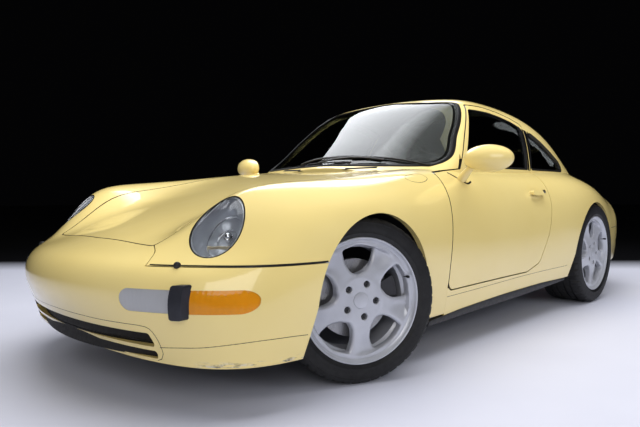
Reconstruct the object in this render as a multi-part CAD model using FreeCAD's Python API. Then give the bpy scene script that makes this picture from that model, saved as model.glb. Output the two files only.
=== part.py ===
"""Two-door rear-engined coupe: body panels, glass, cabin, running gear and five-spoke wheels.

Frame: +Z up, the nose towards -Y, the car's left side towards +X, the floor at Z = 0 and the
origin under the middle of the car's length. Sizes are in millimetres.
"""
import FreeCAD, Part
import math
import os

Vector = FreeCAD.Vector
Rotation = FreeCAD.Rotation
Placement = FreeCAD.Placement
X_AXIS, Y_AXIS, Z_AXIS = Vector(1, 0, 0), Vector(0, 1, 0), Vector(0, 0, 1)
ORIGIN = Vector(0, 0, 0)

document = FreeCAD.newDocument("Coupe")

# Driving dimensions: name, value, what it is
SIZES = (
    ("front_overhang", 915, "nose to front axle"),
    ("wheelbase", 2272, "front axle to rear axle"),
    ("rear_overhang", 1058, "rear axle to tail"),
    ("body_width", 1735, "over the rear wheel arches"),
    ("body_height", 1285, "floor to roof"),
    ("front_track", 1405, "between the front wheels' middle planes"),
    ("rear_track", 1444, "between the rear wheels' middle planes"),
    ("front_tyre_radius", 318.5, "unloaded radius of a front tyre"),
    ("front_tyre_width", 225, "front tyre"),
    ("rear_tyre_radius", 321.3, "unloaded radius of a rear tyre"),
    ("rear_tyre_width", 265, "rear tyre"),
    ("flange_radius", 241, "rim flange"),
    ("bead_radius", 228, "seat of the tyre on the rim"),
    ("front_rim_width", 216, "over the flanges"),
    ("rear_rim_width", 252, "over the flanges"),
    ("hub_radius", 34, "hub flange stub"),
    ("bolt_circle", 130, "wheel bolt circle, diameter"),
    ("bolt_recess", 13, "radius of a wheel bolt's recess"),
    ("disc_radius", 152, "brake disc"),
    ("disc_thickness", 28, "brake disc"),
    ("kingpin_half", 680, "steering axis from the middle plane"),
    ("steer_at_rest", 24, "degrees that the front wheels stand turned"),
    ("well_radius", 356, "inside of a wheel well"),
    ("well_inner", 350, "inner wall of a wheel well from the middle plane"),
    ("arch_gap", 12, "wheel arch lip outside the tyre"),
    ("skin", 24, "thickness of a body panel with its frame"),
    ("pillar", 36, "thickness of the roof frame"),
    ("glass", 5, "thickness of a pane"),
    ("shut_gap", 5, "gap round a door or lid"),
    ("door_gap", 6, "gap at a door's front edge"),
    ("seam_gap", 3, "seam between a fender and the bumper cover"),
    ("door_inner", 700, "inner face of a door from the middle plane"),
    ("seat_gap", 0.3, "clearance of pieces that seat on each other"),
    ("steering_wheel_radius", 190, "steering wheel rim"),
    ("exhaust_radius", 38, "tail pipe"),
)


def make_sheet():
    """Fill the spreadsheet with the driving dimensions and return their values by name."""
    sheet = document.addObject("Spreadsheet::Sheet", "Sizes")
    for row, (name, value, note) in enumerate(SIZES, start=1):
        sheet.set(f"A{row}", name)
        sheet.set(f"B{row}", str(value))
        sheet.set(f"C{row}", note)
        sheet.setAlias(f"B{row}", name)
    document.recompute()
    return {name: float(sheet.get(name)) for name, value, note in SIZES}


size = make_sheet()

# The drawing's own stations, to which the outlines below refer
DRAWN_NOSE, DRAWN_FRONT, DRAWN_REAR, DRAWN_TAIL = -2122.5, -1207.5, 1064.5, 2122.5
DRAWN_WIDTH, DRAWN_HEIGHT = 1735.0, 1285.0

body_length = size["front_overhang"] + size["wheelbase"] + size["rear_overhang"]
front_axle = -body_length / 2 + size["front_overhang"]
rear_axle = front_axle + size["wheelbase"]
front_half = size["front_track"] / 2
rear_half = size["rear_track"] / 2
gap = size["shut_gap"]
seat = size["seat_gap"]


def across(x):
    """Drawn X to real X."""
    return x * size["body_width"] / DRAWN_WIDTH


def upward(z):
    """Drawn Z to real Z."""
    return z * size["body_height"] / DRAWN_HEIGHT


def along(y):
    """Drawn Y to real Y, each overhang and the wheelbase stretched by itself."""
    if y < DRAWN_FRONT:
        return front_axle + (y - DRAWN_FRONT) * size["front_overhang"] / (DRAWN_FRONT - DRAWN_NOSE)
    if y > DRAWN_REAR:
        return rear_axle + (y - DRAWN_REAR) * size["rear_overhang"] / (DRAWN_TAIL - DRAWN_REAR)
    return front_axle + (y - DRAWN_FRONT) * size["wheelbase"] / (DRAWN_REAR - DRAWN_FRONT)


def at(x, y, z):
    """A drawn point at its real place."""
    return Vector(across(x), along(y), upward(z))


# Control points of the lower body's surface, left half, from the front lip over the nose, hood and
# tail to the rear lip; each row runs from the side's lower edge over the wheel arch to the middle
BODY_NET = (
    ((800, -1590, 120), (797, -1640, 120), (787, -1695, 120), (768, -1750, 120), (738, -1803, 120),
     (692, -1852, 120), (626, -1892, 120), (515, -1925, 120), (375, -1947, 120), (195, -1958, 120),
     (0, -1962, 120)),
    ((802, -1560, 120), (815, -1588, 205), (808, -1660, 205), (790, -1726, 205), (760, -1788, 205),
     (714, -1845, 205), (646, -1898, 205), (533, -1945, 205), (387, -1980, 205), (200, -2002, 205),
     (0, -2008, 205)),
    ((803, -1530, 120), (820, -1550, 205), (829, -1580, 300), (815, -1675, 300), (786, -1757, 300),
     (741, -1830, 300), (673, -1894, 300), (557, -1964, 300), (403, -2020, 300), (208, -2058, 300),
     (0, -2070, 300)),
    ((804, -1500, 120), (823, -1515, 208), (836, -1535, 305), (838, -1575, 398), (812, -1700, 400),
     (760, -1800, 400), (690, -1885, 400), (572, -1974, 400), (414, -2050, 398), (216, -2114, 396),
     (0, -2135, 395)),
    ((804, -1470, 120), (825, -1480, 210), (840, -1490, 310), (845, -1510, 410), (832, -1600, 485),
     (765, -1750, 485), (680, -1850, 478), (562, -1940, 480), (410, -2022, 482), (213, -2080, 485),
     (0, -2100, 487)),
    ((804, -1435, 120), (826, -1440, 212), (843, -1445, 315), (850, -1455, 420), (843, -1500, 520),
     (790, -1660, 560), (645, -1802, 520), (522, -1880, 524), (395, -1955, 515), (207, -2005, 522),
     (0, -2020, 525)),
    ((803, -1395, 120), (826, -1398, 214), (845, -1400, 318), (853, -1405, 430), (850, -1430, 545),
     (812, -1560, 640), (624, -1730, 676), (487, -1785, 636), (380, -1850, 548), (200, -1890, 553),
     (0, -1900, 556)),
    ((802, -1350, 120), (826, -1350, 215), (846, -1350, 320), (855, -1350, 440), (853, -1360, 560),
     (815, -1450, 690), (620, -1622, 766), (480, -1640, 752), (360, -1680, 622), (190, -1710, 617),
     (0, -1720, 616)),
    ((801, -1290, 120), (826, -1290, 218), (847, -1290, 325), (857, -1290, 445), (856, -1295, 575),
     (822, -1350, 712), (632, -1440, 794), (484, -1460, 730), (350, -1480, 678), (190, -1495, 676),
     (0, -1500, 676)),
    ((800, -1207, 120), (826, -1207, 218), (848, -1207, 325), (858, -1207, 450), (858, -1207, 585),
     (826, -1207, 722), (645, -1207, 806), (500, -1207, 748), (350, -1207, 742), (190, -1207, 742),
     (0, -1207, 743)),
    ((800, -950, 120), (820, -950, 218), (838, -950, 325), (848, -950, 450), (845, -950, 590),
     (805, -950, 725), (660, -950, 822), (530, -950, 800), (370, -950, 796), (190, -950, 796),
     (0, -950, 796)),
    ((795, -700, 120), (812, -700, 218), (826, -700, 325), (832, -700, 450), (826, -700, 590),
     (792, -700, 715), (690, -700, 828), (580, -700, 838), (400, -700, 836), (200, -700, 834),
     (0, -700, 834)),
    ((790, -450, 120), (806, -450, 215), (820, -450, 320), (826, -450, 440), (820, -450, 570),
     (795, -450, 690), (738, -450, 795), (660, -450, 845), (450, -450, 852), (220, -450, 850),
     (0, -450, 848)),
    ((788, -150, 120), (803, -150, 215), (816, -150, 320), (821, -150, 440), (816, -150, 570),
     (795, -150, 685), (745, -150, 790), (672, -150, 846), (450, -150, 860), (220, -150, 860),
     (0, -150, 860)),
    ((788, 150, 120), (803, 150, 215), (816, 150, 320), (822, 150, 440), (818, 150, 570),
     (798, 150, 685), (748, 150, 788), (672, 150, 846), (450, 150, 860), (220, 150, 860),
     (0, 150, 860)),
    ((792, 450, 120), (808, 450, 215), (826, 450, 320), (836, 450, 440), (838, 450, 570),
     (816, 450, 690), (758, 450, 792), (672, 450, 848), (450, 450, 870), (220, 450, 870),
     (0, 450, 870)),
    ((800, 750, 120), (822, 750, 215), (846, 750, 320), (860, 750, 440), (865, 750, 580),
     (844, 750, 705), (775, 750, 800), (672, 750, 858), (550, 750, 890), (300, 750, 900),
     (0, 750, 900)),
    ((800, 1064, 120), (826, 1064, 215), (852, 1064, 320), (868, 1064, 445), (872, 1064, 580),
     (850, 1064, 703), (778, 1064, 794), (690, 1064, 830), (590, 1064, 905), (300, 1064, 930),
     (0, 1064, 930)),
    ((794, 1300, 120), (820, 1300, 215), (844, 1300, 320), (856, 1300, 445), (850, 1300, 570),
     (820, 1300, 680), (754, 1300, 758), (664, 1300, 792), (552, 1300, 852), (300, 1300, 945),
     (0, 1300, 965)),
    ((776, 1500, 120), (798, 1500, 215), (816, 1500, 320), (825, 1500, 445), (814, 1500, 552),
     (778, 1500, 648), (720, 1500, 712), (632, 1500, 752), (490, 1500, 824), (260, 1500, 880),
     (0, 1500, 894)),
    ((763, 1540, 120), (786, 1550, 215), (804, 1560, 320), (812, 1570, 440), (802, 1588, 545),
     (760, 1624, 628), (700, 1658, 682), (600, 1682, 736), (445, 1700, 788), (230, 1710, 828),
     (0, 1715, 840)),
    ((754, 1580, 120), (777, 1595, 215), (794, 1610, 320), (802, 1625, 435), (787, 1680, 532),
     (743, 1762, 600), (672, 1832, 660), (572, 1863, 704), (430, 1888, 740), (220, 1902, 757),
     (0, 1907, 763)),
    ((747, 1610, 120), (769, 1630, 212), (784, 1650, 315), (789, 1685, 425), (764, 1763, 520),
     (716, 1847, 575), (652, 1927, 626), (552, 1976, 662), (415, 2002, 684), (215, 2015, 694),
     (0, 2020, 697)),
    ((742, 1640, 120), (763, 1660, 210), (776, 1690, 310), (773, 1740, 415), (743, 1823, 503),
     (698, 1902, 538), (640, 1970, 558), (545, 2023, 574), (405, 2062, 583), (210, 2084, 588),
     (0, 2092, 590)),
    ((738, 1665, 120), (757, 1690, 208), (766, 1730, 305), (753, 1795, 400), (722, 1873, 450),
     (677, 1946, 465), (615, 2009, 470), (525, 2061, 474), (390, 2098, 477), (205, 2124, 479),
     (0, 2133, 480)),
    ((734, 1690, 120), (750, 1725, 205), (752, 1780, 300), (730, 1850, 330), (692, 1917, 335),
     (646, 1974, 337), (585, 2024, 338), (496, 2065, 339), (370, 2093, 340), (195, 2110, 340),
     (0, 2116, 340)),
    ((728, 1715, 120), (738, 1765, 205), (723, 1830, 215), (693, 1885, 220), (655, 1935, 220),
     (608, 1980, 220), (548, 2017, 220), (461, 2045, 220), (345, 2064, 220), (180, 2075, 220),
     (0, 2079, 220)),
    ((718, 1740, 120), (718, 1790, 120), (698, 1842, 120), (665, 1890, 120), (626, 1930, 120),
     (578, 1962, 120), (520, 1990, 120), (437, 2012, 120), (325, 2027, 120), (170, 2036, 120),
     (0, 2039, 120)),
)
CABIN_NET = (
    ((600, -900, 500), (560, -900, 500), (520, -900, 500), (470, -900, 500), (410, -900, 500),
     (340, -900, 500), (240, -900, 500), (120, -900, 500), (0, -900, 500)),
    ((680, -850, 500), (670, -850, 530), (655, -850, 560), (630, -850, 575), (580, -850, 590),
     (480, -850, 610), (340, -850, 640), (180, -850, 680), (0, -850, 700)),
    ((695, -760, 500), (680, -760, 600), (668, -760, 640), (640, -760, 660), (595, -760, 675),
     (495, -760, 700), (345, -760, 735), (182, -760, 768), (0, -760, 780)),
    ((705, -640, 500), (690, -640, 650), (682, -640, 700), (655, -640, 735), (612, -640, 755),
     (512, -640, 785), (355, -640, 822), (187, -640, 852), (0, -640, 862)),
    ((712, -520, 500), (700, -520, 700), (690, -520, 770), (665, -520, 812), (628, -520, 838),
     (530, -520, 870), (370, -520, 915), (190, -520, 947), (0, -520, 957)),
    ((715, -400, 500), (705, -400, 740), (692, -400, 826), (672, -400, 866), (640, -400, 893),
     (545, -400, 945), (385, -400, 1000), (192, -400, 1032), (0, -400, 1042)),
    ((712, -300, 500), (702, -300, 745), (678, -300, 880), (650, -300, 948), (612, -300, 992),
     (525, -300, 1037), (370, -300, 1080), (186, -300, 1106), (0, -300, 1114)),
    ((709, -200, 500), (700, -200, 750), (668, -200, 905), (628, -200, 1015), (582, -200, 1088),
     (505, -200, 1124), (356, -200, 1156), (178, -200, 1177), (0, -200, 1184)),
    ((707, -100, 500), (700, -100, 755), (664, -100, 920), (616, -100, 1045), (560, -100, 1158),
     (490, -100, 1203), (345, -100, 1229), (172, -100, 1243), (0, -100, 1248)),
    ((706, 0, 500), (700, 0, 755), (662, 0, 925), (612, 0, 1060), (554, 0, 1186), (487, 0, 1246),
     (335, 0, 1269), (165, 0, 1278), (0, 0, 1282)),
    ((705, 150, 500), (700, 150, 755), (661, 150, 928), (612, 150, 1062), (554, 150, 1192),
     (484, 150, 1252), (330, 150, 1273), (160, 150, 1281), (0, 150, 1284)),
    ((705, 320, 500), (700, 320, 755), (661, 320, 928), (612, 320, 1060), (555, 320, 1180),
     (482, 320, 1248), (325, 320, 1274), (158, 320, 1284), (0, 320, 1287)),
    ((703, 490, 500), (698, 490, 755), (661, 490, 926), (615, 490, 1056), (562, 490, 1165),
     (488, 490, 1233), (323, 490, 1260), (156, 490, 1273), (0, 490, 1277)),
    ((700, 660, 500), (694, 660, 760), (659, 660, 920), (618, 660, 1040), (572, 660, 1140),
     (496, 660, 1204), (328, 660, 1237), (157, 660, 1250), (0, 660, 1254)),
    ((696, 820, 500), (690, 820, 765), (657, 820, 902), (624, 820, 1005), (584, 820, 1096),
     (508, 820, 1158), (334, 820, 1188), (158, 820, 1201), (0, 820, 1205)),
    ((692, 980, 500), (686, 980, 760), (652, 980, 876), (618, 980, 964), (578, 980, 1042),
     (504, 980, 1094), (334, 980, 1124), (158, 980, 1137), (0, 980, 1141)),
    ((688, 1130, 500), (680, 1130, 740), (644, 1130, 836), (610, 1130, 906), (568, 1130, 968),
     (496, 1130, 1012), (332, 1130, 1044), (157, 1130, 1057), (0, 1130, 1061)),
    ((684, 1280, 500), (674, 1280, 700), (634, 1280, 776), (600, 1280, 832), (558, 1280, 882),
     (486, 1280, 920), (326, 1280, 952), (156, 1280, 965), (0, 1280, 969)),
    ((680, 1430, 500), (668, 1430, 640), (628, 1430, 700), (590, 1430, 744), (548, 1430, 782),
     (475, 1430, 814), (314, 1430, 840), (152, 1430, 862), (0, 1430, 870)),
    ((670, 1560, 500), (655, 1560, 560), (615, 1560, 600), (575, 1560, 625), (530, 1560, 650),
     (455, 1560, 680), (300, 1560, 715), (150, 1560, 740), (0, 1560, 750)),
    ((600, 1640, 500), (560, 1640, 500), (520, 1640, 500), (470, 1640, 500), (410, 1640, 500),
     (340, 1640, 500), (240, 1640, 500), (120, 1640, 500), (0, 1640, 500)),
)


def mirrored_rows(net):
    """Control points over the whole width from those of the left half."""
    rows = []
    for half in net:
        left = [at(*point) for point in half]
        rows.append(left + [Vector(-p.x, p.y, p.z) for p in reversed(left[:-1])])
    return rows


def knot_mean(index, count):
    """Parameter at which a cubic surface follows its control point the closest."""
    last = count - 3
    knots = [min(max(k, 0), last) for k in range(index - 2, index + 1)]
    return min(max(sum(knots) / 3.0, 0.001), last - 0.001)


def cubic_surface(rows):
    """Cubic B-spline surface over a net of control points."""
    surface = Part.BSplineSurface()
    ends = [[4] + [1] * (count - 4) + [4] for count in (len(rows), len(rows[0]))]
    knots = [[float(k) for k in range(len(marks))] for marks in ends]
    surface.buildFromPolesMultsKnots(rows, ends[0], ends[1], knots[0], knots[1], False, False, 3, 3)
    return surface


def inner_rows(rows, depth):
    """Net of the surface that lies by depth inside the given one, its lower edge kept level."""
    surface = cubic_surface(rows)
    floor = rows[0][0].z
    moved = []
    for i, row in enumerate(rows):
        line = []
        for j, pole in enumerate(row):
            normal = surface.normal(knot_mean(i, len(rows)), knot_mean(j, len(row)))
            point = pole - normal * depth
            if i in (0, len(rows) - 1) or j in (0, len(row) - 1):
                point.z = floor
            line.append(point)
        moved.append(line)
    return moved


def closed_solid(rows):
    """Solid between a surface and the level plane of its lower edge."""
    face = cubic_surface(rows).toShape()
    cap = Part.Face(Part.Wire(Part.__sortEdges__(face.Edges)))
    solid = Part.Solid(Part.Shell([face, cap]))
    if solid.Volume < 0:
        solid.reverse()
    return solid


body_rows = mirrored_rows(BODY_NET)
cabin_rows = mirrored_rows(CABIN_NET)


def body_at(depth):
    """Lower body, its skin moved inwards by depth."""
    return closed_solid(inner_rows(body_rows, depth))


def cabin_at(depth):
    """Roof, pillars and windows, their skin moved inwards by depth."""
    return closed_solid(inner_rows(cabin_rows, depth))


# Outlines and prisms
def rounded_wire(points, radius):
    """Closed wire through points, its corners rounded; radius is one value or one per corner."""
    count = len(points)
    radii = [radius] * count if not isinstance(radius, (list, tuple)) else list(radius)
    starts, ends, mids = [], [], []
    for k, corner in enumerate(points):
        to_last = points[k - 1] - corner
        to_next = points[(k + 1) % count] - corner
        angle = to_last.getAngle(to_next)
        reach = radii[k] / math.tan(angle / 2) if radii[k] > 0 else 0
        reach = min(reach, 0.49 * min(to_last.Length, to_next.Length))
        if reach < 0.01 or abs(angle - math.pi) < 0.01:
            starts.append(corner)
            ends.append(corner)
            mids.append(None)
            continue
        to_last.normalize()
        to_next.normalize()
        bisector = to_last + to_next
        bisector.normalize()
        turn = reach * math.tan(angle / 2)
        centre = corner + bisector * (turn / math.sin(angle / 2))
        starts.append(corner + to_last * reach)
        ends.append(corner + to_next * reach)
        mids.append(centre - bisector * turn)
    edges = []
    for k in range(count):
        if mids[k] is not None:
            edges.append(Part.Arc(starts[k], mids[k], ends[k]).toShape())
        if (starts[(k + 1) % count] - ends[k]).Length > 0.01:
            edges.append(Part.makeLine(ends[k], starts[(k + 1) % count]))
    return Part.Wire(edges)


def prism(points, radius, direction):
    """Straight prism over a closed outline."""
    return Part.Face(rounded_wire(points, radius)).extrude(direction)


def side_prism(outline, radius=0, x_from=300, x_to=1000):
    """Prism seen from the side: outline of drawn (y, z), from x_from to x_to."""
    points = [Vector(x_from, along(y), upward(z)) for y, z in outline]
    return prism(points, radius, Vector(x_to - x_from, 0, 0))


def front_prism(outline, radius, y_from, y_to):
    """Prism seen from the front: outline of drawn (x, z) between two drawn stations."""
    points = [Vector(across(x), along(y_from), upward(z)) for x, z in outline]
    return prism(points, radius, Vector(0, along(y_to) - along(y_from), 0))


def plan_prism(outline, radius=0, z_from=0, z_to=1500):
    """Prism seen from above: outline of drawn (x, y) between two drawn heights."""
    points = [Vector(across(x), along(y), upward(z_from)) for x, y in outline]
    return prism(points, radius, Vector(0, 0, upward(z_to) - upward(z_from)))


def drawn_box(x, y, z):
    """Box between drawn limits, each given as a pair."""
    low, high = at(x[0], y[0], z[0]), at(x[1], y[1], z[1])
    return Part.makeBox(high.x - low.x, high.y - low.y, high.z - low.z, low)


def grown(outline, distance):
    """Outline moved outwards by distance on all its sides, inwards where it is negative."""
    face = Part.Face(Part.makePolygon([Vector(a, b, 0) for a, b in outline + outline[:1]]))
    moved = face.makeOffset2D(distance, 2)
    ring = moved.OuterWire.OrderedVertexes if hasattr(moved, "OuterWire") else moved.OrderedVertexes
    points = [(v.X, v.Y) for v in ring]
    return points


def other_side(shape):
    """The same shape on the car's right side."""
    return shape.mirror(ORIGIN, X_AXIS)


def both_sides(shape):
    """A left-hand shape together with its right-hand copy."""
    return Part.makeCompound([shape, other_side(shape)])


def rod(start, end, radius):
    """Round bar between two points."""
    return Part.makeCylinder(radius, (end - start).Length, start, end - start)


def fused(first, *others):
    """One solid from several that overlap or touch."""
    shape = first.fuse(list(others))
    return shape.removeSplitter()


def largest(shape):
    """The solid of a cut that matters, without slivers."""
    return max(shape.Solids, key=lambda s: s.Volume)


parts = {}


def add_piece(label, shape, placement=None):
    """Put a shape in the document as a sub-part with its own label."""
    piece = document.addObject("Part::Feature", label)
    piece.Label = label
    piece.Shape = shape
    if placement:
        piece.Placement = placement
    parts[label] = piece
    return piece


# Whole outer form, and the hollow inside it
outer_body = body_at(0)
outer = outer_body.fuse(cabin_at(0))
hollow = body_at(size["skin"]).fuse(cabin_at(size["pillar"]))
pane_outer, pane_inner = cabin_at(4), cabin_at(4 + size["glass"])
door_pane_outer, door_pane_inner = cabin_at(12), cabin_at(12 + size["glass"])

# Side outlines, drawn (y, z)
UNDERSIDE = [(-2300, 0), (2300, 0), (2300, 262), (2120, 252), (1480, 214), (700, 205), (-850, 176),
             (-1560, 170), (-2300, 170)]
underside_cut = side_prism(UNDERSIDE, 0, -1000, 1000)


def arch_cut(axle, tyre_radius, foot_ahead, foot_behind):
    """Opening of a left wheel arch through the skin: a round top on splayed feet."""
    radius = tyre_radius + size["arch_gap"]
    centre = Vector(size["well_inner"], axle, tyre_radius)
    round_top = Part.makeCylinder(radius, 700, centre, X_AXIS)
    foot = [Vector(size["well_inner"], axle + y, z) for y, z in (
        (-radius, tyre_radius + 20), (-foot_ahead, 0), (foot_behind, 0), (radius, tyre_radius + 20))]
    return round_top.fuse(prism(foot, 0, Vector(700, 0, 0)))


def well_cut(axle, tyre_radius, outer_x):
    """Room of a left wheel inside the skin."""
    centre = Vector(size["well_inner"], axle, tyre_radius)
    room = Part.makeCylinder(size["well_radius"], outer_x - size["well_inner"], centre, X_AXIS)
    below = Part.makeBox(outer_x - size["well_inner"], 2 * size["well_radius"], tyre_radius,
                         Vector(size["well_inner"], axle - size["well_radius"], 0))
    return room.fuse(below)


front_arch = arch_cut(front_axle, size["front_tyre_radius"], 425, 345)
rear_arch = arch_cut(rear_axle, size["rear_tyre_radius"], 455, 415)
front_well = well_cut(front_axle, size["front_tyre_radius"], across(815))
rear_well = well_cut(rear_axle, size["rear_tyre_radius"], across(790))
wheel_cuts = [front_arch, rear_arch, front_well, rear_well]
wheel_cuts += [other_side(cut) for cut in wheel_cuts]

shell = outer.cut(hollow).cut([underside_cut] + wheel_cuts)

# Shut lines
HOOD = [(-383, -1888), (0, -1908), (383, -1888), (470, -1500), (560, -1000), (588, -662), (0, -662),
        (-588, -662), (-560, -1000), (-470, -1500)]
HOOD_CORNERS = [22, 0, 22, 900, 1500, 60, 0, 60, 1500, 900]
ENGINE_LID = [(-520, 1338), (520, 1338), (500, 1700), (455, 1935), (0, 1962), (-455, 1935), (-500, 1700)]
DOOR = [(-607, 815), (-650, 640), (-690, 400), (-700, 292), (120, 292), (262, 330), (360, 480), (412, 640),
        (440, 836), (534, 1134), (400, 1172), (291, 1190), (120, 1206), (-34, 1206), (-222, 1010), (-368, 838)]
DOOR_CORNERS = [20, 0, 0, 40, 60, 60, 200, 300, 200, 30, 600, 600, 600, 30, 900, 10]
DOOR_WINDOW = [(-322, 852), (420, 852), (512, 1112), (401, 1147), (291, 1165), (150, 1180), (-48, 1182)]
DOOR_WINDOW_CORNERS = [14, 20, 20, 300, 300, 600, 40]
QUARTER_WINDOW = [(462, 852), (985, 852), (975, 915), (852, 978), (729, 1040), (575, 1103)]
QUARTER_CORNERS = [16, 40, 30, 300, 300, 40]
WINDSCREEN = [(-664, 848), (0, 866), (664, 848), (532, 1190), (440, 1230), (0, 1264), (-440, 1230), (-532, 1190)]
WINDSCREEN_CORNERS = [50, 0, 50, 40, 120, 900, 120, 40]
SCREEN_LIMIT = [(-1000, 800), (-405, 800), (-405, 838), (-285, 1000), (-185, 1090), (-68, 1200), (60, 1290),
                (-1000, 1290)]
REAR_WINDOW = [(-500, 985), (500, 985), (440, 1215), (0, 1236), (-440, 1215)]
REAR_CORNERS = [60, 60, 70, 900, 70]


def with_gap(outline, corners, distance, axes):
    """Outline points grown outwards by distance, as vectors, in the order given."""
    points = [Vector(a, b, 0) for a, b in outline]
    count = len(points)
    area = sum(points[k - 1].x * points[k].y - points[k].x * points[k - 1].y for k in range(count))
    turn = 1 if area > 0 else -1
    moved = []
    for k, corner in enumerate(points):
        before = (corner - points[k - 1]).normalize()
        after = (points[(k + 1) % count] - corner).normalize()
        out_a = Vector(before.y, -before.x, 0) * turn
        out_b = Vector(after.y, -after.x, 0) * turn
        shift = out_a + out_b
        shift.normalize()
        moved.append(corner + shift * (distance / max(shift.dot(out_a), 0.3)))
    return [(p.x, p.y) for p in moved]


def wider(outline, distance):
    """The outline grown by distance."""
    return with_gap(outline, None, distance, None)


# Bumper and fender shut lines: the bumper cover lies below a level seam and in front of the hood
SEAM = 487
bumper_below = drawn_box((-1000, 1000), (-2300, -1215), (0, SEAM))
NOSE_TOP = [(-470, -2300), (470, -2300), (462, -1960), (436, -1915), (383, -1889), (383, -1700),
            (-383, -1700), (-383, -1889), (-436, -1915), (-462, -1960)]
NOSE_CORNERS = [0, 0, 60, 60, 0, 0, 0, 0, 60, 60]
bumper_ahead = plan_prism(NOSE_TOP, NOSE_CORNERS, 0, 700)
bumper_ahead_gap = plan_prism(wider(NOSE_TOP, size["seam_gap"]), NOSE_CORNERS, 0, 700)
front_bumper_zone = bumper_below.fuse(bumper_ahead)
hood_zone = plan_prism(HOOD, HOOD_CORNERS, 480, 1000)
HOOD_ROOM = [(x, y + 9) if y == -662 else (x, y) for x, y in HOOD]
HOOD_ROOM_CORNERS = [22, 0, 22, 900, 1500, 50, 0, 50, 1500, 900]
hood_hole = plan_prism(wider(HOOD_ROOM, gap), HOOD_ROOM_CORNERS, 480, 1000)
lid_zone = plan_prism(ENGINE_LID, 60, 560, 1200)
LID_ROOM = [(x, y - 12) if y == ENGINE_LID[0][1] else (x, y) for x, y in ENGINE_LID]
lid_hole = plan_prism(wider(LID_ROOM, gap), 60, 560, 1200)
door_zone = side_prism(DOOR, DOOR_CORNERS, 400)
door_hole = side_prism(wider(DOOR, size["door_gap"]), DOOR_CORNERS, 400)
door_window = side_prism(DOOR_WINDOW, DOOR_WINDOW_CORNERS, 400)
quarter_hole = side_prism(QUARTER_WINDOW, QUARTER_CORNERS, 400)
windscreen_hole = front_prism(WINDSCREEN, WINDSCREEN_CORNERS, -900, 150).common(
    side_prism(SCREEN_LIMIT, 0, -1000, 1000))
rear_window_hole = front_prism(REAR_WINDOW, REAR_CORNERS, 560, 1700)

# Lamps and openings of the nose, left side
LAMP_MIDDLE = at(574, -1752, 610)
LAMP_OUTWARD, LAMP_UP = Vector(0.2165, -0.6766, 0.7038), Vector(-0.2764, 0.6491, 0.7087)
LAMP_SIDE = LAMP_OUTWARD.cross(LAMP_UP)
LAMP_HALF_WIDTH, LAMP_HALF_HEIGHT = 95, 135


def lamp_cylinder(outwards, inwards):
    """Oval cylinder of the left headlamp square to its lens, reaching outwards and inwards of it."""
    start = LAMP_MIDDLE + LAMP_OUTWARD * outwards
    oval = Part.Ellipse(start + LAMP_UP * LAMP_HALF_HEIGHT, start + LAMP_SIDE * LAMP_HALF_WIDTH, start)
    face = Part.Face(Part.Wire([oval.toShape()]))
    return face.extrude(LAMP_OUTWARD * -(outwards + inwards))


lamp_hole = lamp_cylinder(70, 150)
LAMP_BAND = [(410, 345), (784, 345), (784, 420), (410, 420)]
band_hole = front_prism(LAMP_BAND, 35, -2300, -1500)
INTAKES = [[(-500, 183), (500, 183), (505, 211), (-505, 211)], [(-506, 225), (506, 225), (490, 272), (-490, 272)]]
intake_holes = [front_prism(slot, 11, -2300, -1850) for slot in INTAKES]

# Front bumper cover
bumper_wall = outer_body.cut(body_at(size["skin"] + 8)).cut([underside_cut] + wheel_cuts[:1] + wheel_cuts[4:5])
front_bumper = bumper_wall.common(front_bumper_zone).cut([hood_hole, band_hole, other_side(band_hole)] + intake_holes)
front_bumper = front_bumper.cut(wheel_cuts[2:3] + wheel_cuts[6:7])
add_piece("front_bumper", largest(front_bumper))

# Front fenders
FLOOR_EDGE = 692
fender_area = drawn_box((200, 1000), (-2300, -560), (SEAM - 300, 1000)).cut(
    drawn_box((0, 1000), (-2300, -1215), (0, SEAM + size["seam_gap"])))
door_front = [(-607 - 6, 2000), (-607 - 6, 815), (-656, 640), (-696, 400), (-706, 292), (-706, 150),
              (-2300, 150), (-2300, 2000)]
fender_side = side_prism(door_front, 0, 150)
fender_left = shell.common(fender_side).common(fender_area).cut([bumper_ahead_gap, hood_hole, lamp_hole])
cowl_line = side_prism([(-655, 700), (-300, 700), (-300, 1100), (-655, 1100)], 0, -1000, 1000)
hinge_room = drawn_box((600, 1000), (-790, -500), (200, 700)).common(body_at(6))
cowl_strip = drawn_box((150, 580), (-672, -300), (700, 1100))
fender_left = fender_left.cut([cowl_line, hinge_room, cowl_strip])
fender_left = largest(fender_left)
add_piece("front_fender_left", fender_left)
add_piece("front_fender_right", other_side(fender_left))

# Cowl below the windscreen
cowl = shell.common(cowl_line).cut([windscreen_hole, door_hole, other_side(door_hole), hood_hole])
cowl = cowl.common(drawn_box((-1000, 1000), (-655, -330), (700, 1100)))
cowl = cowl.cut(side_prism([(-607, 600), (-200, 600), (-200, 1100), (-385, 842), (-607, 815)], 0, 640))
cowl = cowl.cut(side_prism([(-607, 600), (-200, 600), (-200, 1100), (-385, 842), (-607, 815)], 0, -1000, -640))
add_piece("cowl_panel", largest(cowl))

# Roof with its pillars, above the belt
BELT = 846
above_belt = drawn_box((-1000, 1000), (-700, 1700), (BELT, 1500))
roof = shell.common(above_belt).cut([windscreen_hole, rear_window_hole, lid_hole, door_hole, quarter_hole,
                                     other_side(door_hole), other_side(quarter_hole)])
roof = roof.cut(drawn_box((-1000, 1000), (-2000, -330), (0, 1500)))
add_piece("roof_frame", largest(roof))

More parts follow.
